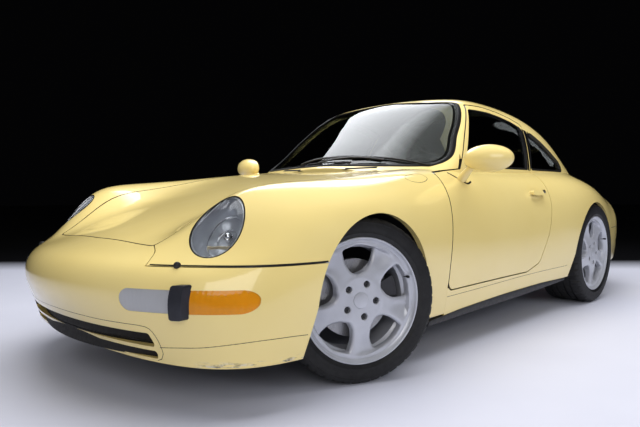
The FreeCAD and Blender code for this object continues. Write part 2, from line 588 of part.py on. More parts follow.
# Rear quarter panels, sills and rear bumper
REAR_SEAM = 470
rear_bumper_zone = drawn_box((-1000, 1000), (1300, 2300), (0, REAR_SEAM)).cut(
    drawn_box((-1000, 1000), (1200, 1395), (0, 1500)))
tail_band_zone = drawn_box((-700, 700), (1900, 2300), (585, 655))
quarter_area = drawn_box((300, 1000), (150, 2300), (200, BELT))
quarter = shell.common(quarter_area).cut([door_hole, lid_hole, rear_bumper_zone, tail_band_zone, quarter_hole])
quarter = quarter.cut(drawn_box((0, 1000), (0, 800), (0, 279)))
quarter = quarter.cut(drawn_box((0, 640), (0, 700), (700, BELT)))
quarter_left = largest(quarter)
add_piece("quarter_panel_left", quarter_left)
add_piece("quarter_panel_right", other_side(quarter_left))
rear_bumper = bumper_wall.common(rear_bumper_zone).cut(wheel_cuts[1:2] + wheel_cuts[5:6] + wheel_cuts[3:4]
                                                       + wheel_cuts[7:8])
add_piece("rear_bumper", largest(rear_bumper))
sill = outer_body.cut([underside_cut] + wheel_cuts[:4]).cut(door_hole)
sill_zone = drawn_box((FLOOR_EDGE, 1000), (-705, 800), (0, 279))
sill_zone = sill_zone.fuse(drawn_box((FLOOR_EDGE, 1000), (-705, 150), (270, 300)))
sill_left = largest(sill.common(sill_zone))
add_piece("sill_panels", both_sides(sill_left))

# Tail between lid and lamps, and the full-width lamp band
tail = shell.common(drawn_box((-300, 300), (1850, 2300), (REAR_SEAM, 900))).cut([lid_hole, tail_band_zone])
band = shell.common(tail_band_zone)
add_piece("tail_lamps", largest(band))
add_piece("tail_panel", tail)

# Lids
front_lid = largest(outer.common(hood_zone).cut(body_at(size["skin"])).cut(cabin_at(0)))
add_piece("front_lid", front_lid)
engine_lid = largest(outer.common(lid_zone).cut(hollow))
add_piece("engine_lid", engine_lid)

# Doors
inner_side = drawn_box((size["door_inner"], 1000), (-2000, 2000), (0, 1500))
upper_side = drawn_box((652, 1000), (-2000, 2000), (770, 1500)).cut(cabin_at(size["pillar"]))
door_full = outer.common(door_zone).common(inner_side.fuse(upper_side).fuse(shell.common(above_belt)))
door_left = largest(door_full.cut(door_window))
# Above the belt the door's rear face recedes inwards, along the path of its swing
EDGE_LOW, EDGE_HIGH, SWING = Vector(766, 427, 735), Vector(556, 559.5, 1215), Vector(100, 20, 0)
swing_face = Part.Face(Part.makePolygon([EDGE_LOW - SWING * 3, EDGE_LOW + SWING, EDGE_HIGH + SWING,
                                         EDGE_HIGH - SWING * 3, EDGE_LOW - SWING * 3]))
door_left = door_left.cut(swing_face.extrude(Y_AXIS * 60))
flange_room = drawn_box((600, 770), (-2000, -590), (0, 760)).common(body_at(5))
door_left = door_left.cut(flange_room)
add_piece("door_left", largest(door_left))
add_piece("door_right", other_side(largest(door_left)))

# Panes
screen = largest(pane_outer.cut(pane_inner).common(windscreen_hole))
add_piece("windscreen", screen)
add_piece("rear_window", largest(pane_outer.cut(pane_inner).common(rear_window_hole)))
door_pane = largest(door_pane_outer.cut(door_pane_inner).common(door_window))
add_piece("door_glass_left", door_pane)
add_piece("door_glass_right", other_side(door_pane))
quarter_pane = largest(door_pane_outer.cut(door_pane_inner).common(quarter_hole))
add_piece("quarter_glass", both_sides(quarter_pane))

# Nose lamps
band_depth = body_at(2).cut(body_at(size["skin"] + 8))
lamp_slot = band_depth.common(band_hole)
GUARD_FROM, GUARD_TO = 600, 636
fog = largest(lamp_slot.common(drawn_box((300, GUARD_FROM), (-2300, -1500), (0, 600))))
indicator = largest(lamp_slot.common(drawn_box((GUARD_TO, 900), (-2300, -1500), (0, 600))))
add_piece("fog_lamps", both_sides(fog))
add_piece("indicators", both_sides(indicator))
guard_slot = front_prism([(GUARD_FROM, 328), (GUARD_TO, 328), (GUARD_TO, 438), (GUARD_FROM, 438)], 8, -2300, -1700)
guard = body_at(-24).cut(outer_body).common(guard_slot)
guard = guard.fuse(outer_body.cut(body_at(size["skin"] + 8)).common(guard_slot).common(band_hole))
add_piece("bumper_guards", both_sides(largest(guard.removeSplitter())))
lamp_body = body_at(2).common(lamp_cylinder(70, 125))
lens = largest(lamp_body.cut(body_at(7)))
bowl_room = Part.makeSphere(1)
stretch = FreeCAD.Matrix()
stretch.scale(LAMP_HALF_WIDTH - 9, 105, LAMP_HALF_HEIGHT - 9)
bowl_room = bowl_room.transformGeometry(stretch)
bowl_room.Placement = Placement(LAMP_MIDDLE, Rotation(LAMP_SIDE, LAMP_OUTWARD, LAMP_UP, "XYZ"))
bowl = largest(lamp_body.common(body_at(7)).cut(bowl_room))
add_piece("headlamp_lenses", both_sides(lens))
add_piece("headlamp_bowls", both_sides(bowl))

# Floor, bulkheads, hinge posts and shelf
FLOOR_LOW, FLOOR_TOP = 150, 168
PAD_RADIUS, PAD_HEIGHT = 30, 12
inside = body_at(size["skin"] + 2)
floor_plates = [
    drawn_box((-FLOOR_EDGE, FLOOR_EDGE), (-712, 700), (FLOOR_LOW, FLOOR_TOP)),
    drawn_box((-560, 560), (-722, -702), (FLOOR_LOW, 770)),
    drawn_box((-600, 600), (716, 736), (FLOOR_LOW, 812)),
    drawn_box((-560, 560), (730, 1300), (800, 812)),
    drawn_box((-460, 460), (1288, 1300), (700, 890)),
    drawn_box((-90, 90), (-702, 716), (FLOOR_TOP - 2, 300)),
]
for mirror in (1, -1):
    for x, y, z in (((560, 688), (-712, -622), (FLOOR_LOW, 800)), ((640, FLOOR_EDGE), (462, 530), (FLOOR_LOW, 830))):
        side = sorted((x[0] * mirror, x[1] * mirror))
        floor_plates.append(drawn_box(side, y, z))
    side = sorted((555 * mirror, 600 * mirror))
    floor_plates.append(drawn_box(side, (-722, -702), (FLOOR_LOW, 770)))
floor = fused(floor_plates[0], *floor_plates[1:]).common(hollow).cut(wheel_cuts[2:4] + wheel_cuts[6:8])
pads = [Part.makeCylinder(PAD_RADIUS, PAD_HEIGHT, at(x, y, FLOOR_LOW) - Z_AXIS * PAD_HEIGHT)
        for x in (-640, 640) for y in (-560, 560)]
floor = fused(floor, *pads)
add_piece("floor_pan", largest(floor))

# Luggage tub in the nose
WALL = 6
tub_half = size["well_inner"] - WALL
tub = Part.makeBox(2 * tub_half, along(-722) - along(-1760), upward(600), Vector(-tub_half, along(-1760), upward(195)))
tub_room = Part.makeBox(2 * tub_half - 2 * WALL, along(-722) - along(-1760) - 2 * WALL, upward(600),
                        Vector(-tub_half + WALL, along(-1760) + WALL, upward(195) + WALL))
tub = tub.cut(tub_room).common(body_at(size["skin"] + 3))
tub = tub.cut([drawn_box((-1000, 1000), (-2300, -1700), (480, 900))])
brackets = [drawn_box((low, low + 50), (-2200, -1755), (300, 380)) for low in (-330, 280)]
tub = tub.fuse(Part.makeCompound(brackets).common(body_at(size["skin"] + 8)))
add_piece("luggage_tub", largest(tub))


def wheel_liner(axle, tyre_radius):
    """Liner of a left wheel well: an arched sheet with its inner wall."""
    centre = Vector(size["well_inner"] - WALL, axle, tyre_radius)
    arched = Part.makeCylinder(size["well_radius"] + WALL, 700, centre, X_AXIS)
    arched = arched.cut(Part.makeCylinder(30, 60, centre - X_AXIS * 20, X_AXIS))
    room = Part.makeCylinder(size["well_radius"], 700, centre + X_AXIS * WALL, X_AXIS)
    below = Part.makeBox(800, 1000, tyre_radius - 20, Vector(0, axle - 500, 0))
    return largest(arched.cut([room, below]).common(body_at(size["skin"])))


front_liner = wheel_liner(front_axle, size["front_tyre_radius"]).cut(front_bumper_zone)
front_liner = largest(front_liner)
rear_liner = wheel_liner(rear_axle, size["rear_tyre_radius"]).cut(drawn_box((0, 1000), (0, 736), (0, 900)))
rear_liner = largest(rear_liner.cut(rear_bumper))
add_piece("wheel_liners", Part.makeCompound([front_liner, rear_liner, other_side(front_liner), other_side(rear_liner)]))

# Cabin
dash = side_prism([(-702, 640), (-560, 560), (-290, 560), (-250, 640), (-262, 790), (-330, 846), (-540, 800),
                   (-702, 728)], [0, 30, 30, 30, 30, 30, 30, 0], -555, 555)
add_piece("dashboard", largest(dash.common(body_at(size["pillar"]))))
SEAT = [(-70, 200), (360, 200), (640, 640), (575, 1030), (520, 1045), (440, 900), (330, 400), (-60, 420), (-100, 330)]
front_seat = side_prism(SEAT, [30, 60, 300, 40, 30, 200, 60, 50, 40], 115, 535)
rear_seat = side_prism([(520, 330), (700, 330), (708, 720), (660, 740), (630, 480), (520, 450)],
                       [20, 20, 40, 30, 60, 40], 105, 520)
seat_legs = [drawn_box((150, 180), (0, 330), (FLOOR_TOP, 210)), drawn_box((485, 515), (0, 330), (FLOOR_TOP, 210))]
front_seat = fused(front_seat, *seat_legs)
add_piece("front_seats", both_sides(front_seat))
rear_seat = rear_seat.fuse(drawn_box((150, 480), (600, 716), (FLOOR_TOP, 340))).removeSplitter()
add_piece("rear_seats", both_sides(rear_seat))

# Engine with gearbox, exhaust
ENGINE_BOTTOM = 190
block = drawn_box((-300, 300), (1330, 1790), (ENGINE_BOTTOM, 560))
gearbox = drawn_box((-150, 150), (900, 1340), (ENGINE_BOTTOM, 430))
gearbox = gearbox.fuse(drawn_box((-60, 60), (736, 905), (300, 360)))
fan = rod(at(0, 1780, 600), at(0, 1830, 600), 105)
fan = fan.fuse(drawn_box((-90, 90), (1700, 1790), (540, 660)))
add_piece("engine_block", fused(block, gearbox, fan).cut(Part.makeCylinder(45, 600, Vector(-300, rear_axle, size["rear_tyre_radius"]), X_AXIS).cut(
    Part.makeBox(240, 200, 200, Vector(-120, rear_axle - 100, size["rear_tyre_radius"] - 100)))))
muffler = rod(at(335, 1850, 290), at(610, 1830, 290), 78)
pipe = rod(at(470, 1850, 232), at(470, 2105, 188), size["exhaust_radius"])
pipe = pipe.cut(rod(at(470, 2025, 201.8), at(470, 2140, 182), size["exhaust_radius"] - 3))
header = rod(at(300, 1600, 300), at(372, 1600, 300), 22).fuse(rod(at(350, 1600, 300), at(350, 1840, 300), 24))
exhaust = muffler.fuse([pipe, header])
add_piece("exhaust", both_sides(exhaust))

# Wheels, each drawn about its own centre with its outer face towards +X


def new_body(label):
    """Empty body with its own label."""
    body = document.addObject("PartDesign::Body", label)
    body.Label = label
    return body


def origin_plane(body, role):
    """Origin plane of a body by its role."""
    return next(f for f in body.Origin.OriginFeatures if f.Role == role)


def sketch_on(body, name, role, offset=0):
    """New sketch on an origin plane of the body."""
    sketch = body.newObject("Sketcher::SketchObject", name)
    sketch.AttachmentSupport = [(origin_plane(body, role), "")]
    sketch.MapMode = "FlatFace"
    sketch.AttachmentOffset = Placement(Vector(0, 0, offset), Rotation())
    return sketch


def draw_outline(sketch, points):
    """Closed run of straight lines."""
    for k, (a, b) in enumerate(points):
        c, d = points[(k + 1) % len(points)]
        sketch.addGeometry(Part.LineSegment(Vector(a, b, 0), Vector(c, d, 0)), False)


def revolve(body, name, sketch):
    """Turn a profile about the body's X axis."""
    feature = body.newObject("PartDesign::Revolution", name)
    feature.Profile = sketch
    feature.ReferenceAxis = (sketch, ["H_Axis"])
    feature.Angle = 360
    return feature


def draw_wire(sketch, wire):
    """Add a wire of lines and arcs to a sketch."""
    for edge in wire.Edges:
        ends = [v.Point for v in edge.Vertexes]
        if isinstance(edge.Curve, Part.Line):
            sketch.addGeometry(Part.LineSegment(ends[0], ends[1]), False)
        else:
            middle = edge.valueAt((edge.FirstParameter + edge.LastParameter) / 2)
            sketch.addGeometry(Part.Arc(ends[0], middle, ends[1]), False)


def pocket_around(body, name, sketch, depth, count, taper=0):
    """Pocket of a given depth, repeated about the X axis."""
    pocket = body.newObject("PartDesign::Pocket", name)
    pocket.Profile = sketch
    pocket.Length = depth
    pocket.TaperAngle = -taper
    return repeat_around(body, name, pocket, count)


def repeat_around(body, name, feature, count):
    """Repeat a feature about the X axis."""
    pattern = body.newObject("PartDesign::PolarPattern", name + "Ring")
    pattern.Originals = [feature]
    pattern.Axis = (origin_plane(body, "X_Axis"), [""])
    pattern.Angle = 360
    pattern.Occurrences = count
    body.Tip = pattern
    return pattern


SPOKES = 5
# A rim window's corners as radius, degrees from its middle and rounding, going round
WINDOW = [(207, 20, 17), (213, 0, 160), (206, -20, 17), (150, -21.5, 90), (113, -13, 40), (97, 6, 24),
          (114, 18, 40), (150, 22, 90)]
WINDOW_TURN, BOLT_TURN, SCOOP_TURN = 92, -25, -32
BEVEL, BEVEL_DEPTH = 6, 9
SCOOP_RADIUS, SCOOP_DEPTH = 60, 13


def polar(radius, degrees):
    """Point of the wheel's face by radius and angle."""
    return (radius * math.cos(math.radians(degrees)), radius * math.sin(math.radians(degrees)))


def make_rim(label, rim_width):
    """Cast five-spoke rim with its barrel, flat face, windows and bolt recesses."""
    body = new_body(label)
    half, flange, bead, hub = rim_width / 2, size["flange_radius"], size["bead_radius"], size["hub_radius"]
    face = half - 14
    profile = sketch_on(body, label + "_profile", "XY_Plane")
    draw_outline(profile, [
        (face + 2, 0), (face + 2, hub), (face, hub + 6), (face - 4, 80), (face - 1, flange - 40), (face - 4, flange - 26),
        (half - 5, flange - 9), (half, flange - 6), (half, flange), (half - 7, flange), (half - 11, bead),
        (half - 38, bead), (half - 58, bead - 20), (58 - half, bead - 20), (38 - half, bead), (11 - half, bead),
        (7 - half, flange), (-half, flange), (-half, flange - 8), (10 - half, bead - 9), (42 - half, bead - 9),
        (62 - half, bead - 28), (half - 52, bead - 28), (face - 26, flange - 54), (face - 34, 98),
        (HUB_FACE + 12, 80), (HUB_FACE, 80), (HUB_FACE, hub), (-44, hub), (-44, 0)])
    revolve(body, label + "_turned", profile)
    document.recompute()
    windows = sketch_on(body, label + "_window", "YZ_Plane", half)
    corners = [polar(radius, WINDOW_TURN + degrees) for radius, degrees, rounding in WINDOW]
    outline = rounded_wire([Vector(a, b, 0) for a, b in corners], [rounding for radius, degrees, rounding in WINDOW])
    draw_wire(windows, outline)
    pocket_around(body, label + "_windows", windows, 70, SPOKES)
    bevel = sketch_on(body, label + "_bevel", "YZ_Plane", half)
    draw_wire(bevel, outline.makeOffset2D(BEVEL + (half - face) * BEVEL / BEVEL_DEPTH))
    pocket_around(body, label + "_bevels", bevel, half - face + BEVEL_DEPTH, SPOKES,
                  math.degrees(math.atan(BEVEL / BEVEL_DEPTH)))
    scoop = body.newObject("PartDesign::SubtractiveCylinder", label + "_scoop")
    scoop.Radius, scoop.Height = SCOOP_RADIUS, 130
    tilt = math.degrees(math.atan(SCOOP_DEPTH / 100))
    spoke = Rotation(X_AXIS, WINDOW_TURN + SCOOP_TURN - 90)
    outer_end = Vector(face + SCOOP_RADIUS - SCOOP_DEPTH, 0, flange - 33)
    scoop.Placement = Placement(spoke.multVec(outer_end), spoke.multiply(Rotation(Vector(0, 1, 0), 180 - tilt)))
    repeat_around(body, label + "_scoops", scoop, SPOKES)
    document.recompute()
    recess = sketch_on(body, label + "_recess", "YZ_Plane", half)
    spot = polar(size["bolt_circle"] / 2, WINDOW_TURN + BOLT_TURN)
    recess.addGeometry(Part.Circle(Vector(spot[0], spot[1], 0), Z_AXIS, size["bolt_recess"]), False)
    pocket_around(body, label + "_recesses", recess, 36, SPOKES)
    return body


def make_tyre(label, tyre_radius, tyre_width, rim_width):
    """Low tyre between the rim's flanges."""
    body = new_body(label)
    profile = sketch_on(body, label + "_profile", "XY_Plane")
    half, foot, bead = tyre_width / 2, rim_width / 2 - 11, size["bead_radius"]
    flange = size["flange_radius"]
    right = [(foot, bead), (half, flange + (tyre_radius - flange) * 0.6), (half - 22, tyre_radius)]
    left = [(-x, r) for x, r in reversed(right)]
    draw_outline(profile, right + left)
    revolve(body, label + "_turned", profile)
    return body


def make_disc(label):
    """Brake disc between hub and rim, with its hat."""
    body = new_body(label)
    profile = sketch_on(body, label + "_profile", "XY_Plane")
    back = HUB_FACE - size["disc_thickness"]
    bore = size["hub_radius"] + seat
    draw_outline(profile, [(back, bore), (back, size["disc_radius"]), (HUB_FACE, size["disc_radius"]), (HUB_FACE, bore)])
    revolve(body, label + "_turned", profile)
    return body


HUB_FACE = 26
wheels = {
    "front_left": (1, True), "front_right": (-1, True), "rear_left": (1, False), "rear_right": (-1, False)}
steer = Rotation(Z_AXIS, -size["steer_at_rest"])


def wheel_place(side, front):
    """Placement of a wheel at its parked angle."""
    if front:
        pin = Vector(side * size["kingpin_half"], front_axle, size["front_tyre_radius"])
        arm = Vector(side * (front_half - size["kingpin_half"]), 0, 0)
        turn = steer.multiply(Rotation(Z_AXIS, 0 if side > 0 else 180))
        return Placement(pin + steer.multVec(arm), turn)
    centre = Vector(side * rear_half, rear_axle, size["rear_tyre_radius"])
    return Placement(centre, Rotation(Z_AXIS, 0 if side > 0 else 180))


for corner, (side, front) in wheels.items():
    end = "front" if front else "rear"
    rim_width = size[f"{end}_rim_width"]
    pieces = (make_rim(f"rim_{corner}", rim_width),
              make_tyre(f"tyre_{corner}", size[f"{end}_tyre_radius"], size[f"{end}_tyre_width"], rim_width),
              make_disc(f"brake_disc_{corner}"))
    for piece in pieces:
        piece.Placement = wheel_place(side, front)
        parts[piece.Label] = piece


def make_knuckle():
    """Left upright with its hub bore and brake caliper, about the wheel's centre."""
    upright = Part.makeBox(40, 64, 195, Vector(-48, -32, -100))
    boss = Part.makeCylinder(56, 40, Vector(-48, 0, 0), X_AXIS)
    bracket = Part.makeBox(30, 90, 70, Vector(-44, 20, -35))
    profile = [Vector(x, r, 0) for x, r in ((-42, 95), (-42, 176), (52, 176), (52, 95), (31, 95), (31, 158), (-7, 158), (-7, 95))]
    caliper = Part.Face(Part.makePolygon(profile + profile[:1])).revolve(ORIGIN, X_AXIS, 56)
    caliper.rotate(ORIGIN, X_AXIS, -28)
    bore = Part.makeCylinder(size["hub_radius"] + seat, 200, Vector(-100, 0, 0), X_AXIS)
    return fused(upright, boss, bracket, caliper).cut(bore)


knuckle = make_knuckle()
for side, name in ((1, "left"), (-1, "right")):
    shape = knuckle if side > 0 else other_side(knuckle)
    pin = Vector(side * size["kingpin_half"], front_axle, size["front_tyre_radius"])
    offset = Placement(Vector(side * (front_half - size["kingpin_half"]), 0, 0), Rotation())
    add_piece(f"front_knuckle_{name}", shape, Placement(pin, steer).multiply(offset))
rear_knuckle = knuckle.copy()
rear_knuckle.translate(Vector(rear_half, rear_axle, size["rear_tyre_radius"]))

# Suspension links, all on the body
front_hub = Vector(size["kingpin_half"], front_axle, size["front_tyre_radius"])
lower_ball = front_hub - Z_AXIS * (100 + seat + 14)
upper_ball = front_hub + Z_AXIS * (95 + seat + 12)
wall = size["well_inner"]
strut_x, STRUT = 500, 26
strut_foot = Vector(strut_x, front_axle, lower_ball.z)
strut_roof = math.sqrt(size["well_radius"] ** 2 - STRUT ** 2) - seat
strut_top = Vector(strut_x, front_axle, size["front_tyre_radius"] + strut_roof)
links = [
    Part.makeCylinder(13, 28, lower_ball - Z_AXIS * 14, Z_AXIS), Part.makeCylinder(13, 24, upper_ball - Z_AXIS * 12, Z_AXIS),
    rod(lower_ball - X_AXIS * 10, Vector(wall - 20, front_axle - 70, lower_ball.z), 11),
    rod(lower_ball - X_AXIS * 10, Vector(wall - 20, front_axle + 70, lower_ball.z), 11),
    Part.makeBox(lower_ball.x - strut_x, 20, 18, Vector(strut_x, front_axle - 10, lower_ball.z - 9)),
    rod(strut_foot - Z_AXIS * 12, strut_top, STRUT), rod(strut_foot + Z_AXIS * 150, strut_top - Z_AXIS * 15, 42),
    Part.makeBox(upper_ball.x - strut_x, 20, 18, Vector(strut_x, front_axle - 10, upper_ball.z - 9))]
front_links = links[0].fuse(links[1:]).cut(Part.makeBox(1000, 2000, 1000, Vector(wall - 1000, -1000 + front_axle, 0)))
rear_hub = Vector(rear_half - 28, rear_axle, size["rear_tyre_radius"])
rear_low = rear_hub - Z_AXIS * 80
rear_high = rear_hub + Z_AXIS * 75
strut_rear = Vector(500, rear_axle + 60, rear_low.z)
rear_links = fused(rear_knuckle, rod(rear_low, Vector(wall, rear_axle - 90, rear_low.z), 15),
                   rod(rear_low, Vector(wall, rear_axle + 90, rear_low.z), 15),
                   rod(rear_high, Vector(wall, rear_axle, rear_high.z + 10), 13),
                   rod(Vector(500, rear_axle + 62, rear_low.z), Vector(500, rear_axle + 62, 600), 24),
                   rod(Vector(500, rear_axle + 62, 330), Vector(500, rear_axle + 62, 590), 40))
rear_links = rear_links.cut([Part.makeBox(1000, 2000, 1000, Vector(wall - 1000, -1000 + rear_axle, 0)),
                             Part.makeCylinder(size["hub_radius"] + seat, 200, Vector(rear_half - 100, rear_axle, rear_hub.z), X_AXIS)])
add_piece("front_links", both_sides(largest(front_links)))
add_piece("rear_links", both_sides(largest(rear_links)))
shaft = rod(Vector(125, rear_axle, size["rear_tyre_radius"]), Vector(rear_half - 44, rear_axle, size["rear_tyre_radius"]), 16)
shaft = shaft.fuse(Part.makeCylinder(40, 60, Vector(rear_half - 108, rear_axle, size["rear_tyre_radius"]), X_AXIS))
shaft = shaft.fuse(Part.makeCylinder(40, 60, Vector(125, rear_axle, size["rear_tyre_radius"]), X_AXIS)).removeSplitter()
add_piece("drive_shaft_left", shaft)
add_piece("drive_shaft_right", other_side(shaft))
print("links done")


def skin_height(x, y):
    """Height of the outer skin over a point of the floor plan."""
    line = Part.makeLine(Vector(x, y, 1500), Vector(x, y, 400))
    return max(v.Z for v in outer.common(line).Vertexes)


# Door hinges: eyes on the hinge post, pins in the door
hinge_y, hinge_x = along(-600), across(795)
HINGE_HEIGHTS = (385, 590)
PIN, EYE = 6, 13
door_left = parts["door_left"].Shape.copy()
hinge_eyes = []
for height in HINGE_HEIGHTS:
    middle = Vector(hinge_x, hinge_y, upward(height))
    notch = Part.makeBox(130, 108, 36, middle + Vector(-115, -74, -18)).common(body_at(5))
    door_left = door_left.cut(notch)
    pin = Part.makeCylinder(PIN, 60, middle - Z_AXIS * 30, Z_AXIS)
    door_left = door_left.fuse(pin)
    arm = Part.makeBox(hinge_x - across(688), 14, 22, Vector(across(688), hinge_y - 7, middle.z - 11))
    post_leg = Part.makeBox(12, hinge_y + 7 - along(-622), 22, Vector(across(688), along(-622), middle.z - 11))
    eye = arm.fuse(Part.makeCylinder(EYE, 22, middle - Z_AXIS * 11, Z_AXIS))
    eye = eye.fuse(post_leg) if hinge_y > along(-622) else eye
    foot = Part.makeBox(12, 60, 22, Vector(across(688), along(-660), middle.z - 11))
    eye = eye.fuse(foot).cut(Part.makeCylinder(PIN + seat, 60, middle - Z_AXIS * 30, Z_AXIS)).removeSplitter()
    hinge_eyes += [eye, other_side(eye)]
door_left = largest(door_left)
parts["door_left"].Shape = door_left
parts["door_right"].Shape = other_side(door_left)

# Lid hinges: ears on the bulkheads, pins in the lids
EAR = 10
hood_pin_y, lid_pin_y = along(-682), along(1346)
HOOD_EAR_X, LID_EAR_X = across(300), across(100)
hood_pin_z = skin_height(HOOD_EAR_X, hood_pin_y) - 13
lid_pin_z = skin_height(LID_EAR_X, lid_pin_y) - 13
front_lid = parts["front_lid"].Shape.copy()
engine_lid = parts["engine_lid"].Shape.copy()
lid_skin = body_at(5).fuse(cabin_at(5))


def lid_hinge(lid, x, pin_y, pin_z, back, post_y, post_z):
    """Cut a lid for its two ears at x, and return the lid with its pins, and the left ear."""
    low, high = sorted((pin_y - back * 24, pin_y + back * 60))
    notch = Part.makeBox(EAR + 12, high - low, 60, Vector(x - EAR / 2 - 6, low, pin_z - 45)).common(lid_skin)
    pin = Part.makeCylinder(3.2, EAR + 24, Vector(x - EAR / 2 - 12, pin_y, pin_z), X_AXIS).common(outer)
    lid = lid.cut([notch, other_side(notch)]).fuse([pin, other_side(pin)])
    ear = Part.makeCylinder(7, EAR, Vector(x - EAR / 2, pin_y, pin_z), X_AXIS)
    reach = sorted((post_y, pin_y + back * 4))
    leg = Part.makeBox(EAR, reach[1] - reach[0], 12, Vector(x - EAR / 2, reach[0], post_z - 12))
    stem = Part.makeBox(EAR, 12, pin_z - post_z + 12, Vector(x - EAR / 2, pin_y - 6, post_z - 12))
    ear = ear.fuse([leg, stem]).cut(Part.makeCylinder(3.5, 60, Vector(x - 30, pin_y, pin_z), X_AXIS))
    return largest(lid), ear.removeSplitter()


front_lid, hood_ear = lid_hinge(front_lid, HOOD_EAR_X, hood_pin_y, hood_pin_z, 1, along(-702), upward(760))
engine_lid, lid_ear = lid_hinge(engine_lid, LID_EAR_X, lid_pin_y, lid_pin_z, -1, along(1300), upward(850))
parts["front_lid"].Shape = front_lid
parts["engine_lid"].Shape = engine_lid
print(f"lid hinges: front y {hood_pin_y:.3f} z {hood_pin_z:.3f}, rear y {lid_pin_y:.3f} z {lid_pin_z:.3f}")
ears = [hood_ear, other_side(hood_ear), lid_ear, other_side(lid_ear)]
add_piece("hinges", Part.makeCompound(hinge_eyes + ears))

# Door handles, mirrors
handle_slot = side_prism([(200, 706), (345, 706), (345, 732), (200, 732)], 12, 700)
handle_feet = side_prism([(205, 710), (235, 710), (235, 728), (205, 728)], 4, 700).fuse(
    side_prism([(296, 708), (342, 708), (342, 730), (296, 730)], 8, 700))
handle = body_at(-26).cut(body_at(-12)).common(handle_slot).fuse(body_at(-14).cut(outer).common(handle_feet))
handle = largest(handle.removeSplitter())
add_piece("door_handle_left", handle)
add_piece("door_handle_right", other_side(handle))
housing = Part.makeSphere(1)
stretch = FreeCAD.Matrix()
stretch.scale(116, 62, 64)
housing = housing.transformGeometry(stretch)
housing = housing.cut(Part.makeBox(400, 200, 400, Vector(-200, 24, -200)))
housing.rotate(ORIGIN, Z_AXIS, 14)
housing.translate(at(876, -446, 882))
foot = rod(at(742, -470, 815), at(850, -455, 862), 20).cut(outer)
mirror_left = largest(fused(housing, foot))
add_piece("mirror_left", mirror_left)
add_piece("mirror_right", other_side(mirror_left))

# Steering wheel and column
wheel_hub = at(360, -130, 745)
tilt = Rotation(X_AXIS, -70)
wheel_radius = size["steering_wheel_radius"]
ring = Part.makeTorus(wheel_radius, 14)
hub = Part.makeCylinder(52, 34, Vector(0, 0, -17))
arms = [rod(ORIGIN, Vector(math.cos(a), math.sin(a), 0) * wheel_radius, 11)
        for a in (math.radians(d) for d in (0, 180, 235, 305))]
steering = fused(ring, hub, *arms)
add_piece("steering_wheel", steering, Placement(wheel_hub, tilt))
column_dir = tilt.multVec(Vector(0, 0, -1))
column = rod(wheel_hub + column_dir * 17.3, wheel_hub + column_dir * 260, 22).cut(parts["dashboard"].Shape)
parts["dashboard"].Shape = largest(parts["dashboard"].Shape.fuse(column).removeSplitter())


def check_and_export():
    """Check every object and write each sub-part to its own file."""
    document.recompute()
    for item in document.Objects:
        if "Invalid" in item.State or "Error" in item.State:
            raise RuntimeError(f"{item.Label} did not build: {item.State}")
    os.makedirs("parts", exist_ok=True)
    for label, piece in parts.items():
        shape = piece.Shape
        if shape.isNull() or not shape.isValid() or not shape.Solids:
            raise RuntimeError(f"{label} is not a valid solid")
        shape.exportStep(f"parts/{label}.step")
    print(len(parts), "sub-parts written")


check_and_export()
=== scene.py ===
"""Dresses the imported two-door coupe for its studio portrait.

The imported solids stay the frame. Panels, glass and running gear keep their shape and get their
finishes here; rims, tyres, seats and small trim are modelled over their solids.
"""

import logging
import math
from dataclasses import dataclass, field
from enum import Enum
from typing import Callable, Iterable, Sequence

import bmesh
import bpy
from mathutils import Matrix, Vector
from mathutils.bvhtree import BVHTree


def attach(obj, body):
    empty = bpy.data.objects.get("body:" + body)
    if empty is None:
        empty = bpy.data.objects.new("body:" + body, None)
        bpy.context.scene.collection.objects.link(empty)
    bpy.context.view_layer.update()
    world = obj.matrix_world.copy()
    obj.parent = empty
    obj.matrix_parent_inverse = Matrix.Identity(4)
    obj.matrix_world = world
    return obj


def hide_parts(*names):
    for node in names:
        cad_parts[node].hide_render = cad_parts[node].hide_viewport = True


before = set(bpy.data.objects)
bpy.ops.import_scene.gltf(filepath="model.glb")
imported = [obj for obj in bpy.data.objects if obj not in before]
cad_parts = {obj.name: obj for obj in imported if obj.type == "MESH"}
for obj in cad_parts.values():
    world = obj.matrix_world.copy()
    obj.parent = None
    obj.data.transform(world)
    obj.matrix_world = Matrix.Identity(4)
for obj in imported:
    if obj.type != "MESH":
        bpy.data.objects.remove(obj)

log = logging.getLogger("coupe")

Point = Sequence[float]
Colour = tuple[float, float, float]
Socket = bpy.types.NodeSocket

FRONT_AXLE, REAR_AXLE = -1.2075, 1.0645
STEER = math.radians(-24)


class Side(Enum):
    """The car's two sides, by the sign of X."""

    LEFT = 1
    RIGHT = -1

    @property
    def word(self) -> str:
        """The side's name in a node's name."""
        return self.name.lower()


class End(Enum):
    """Front and rear axle."""

    FRONT = "front"
    REAR = "rear"


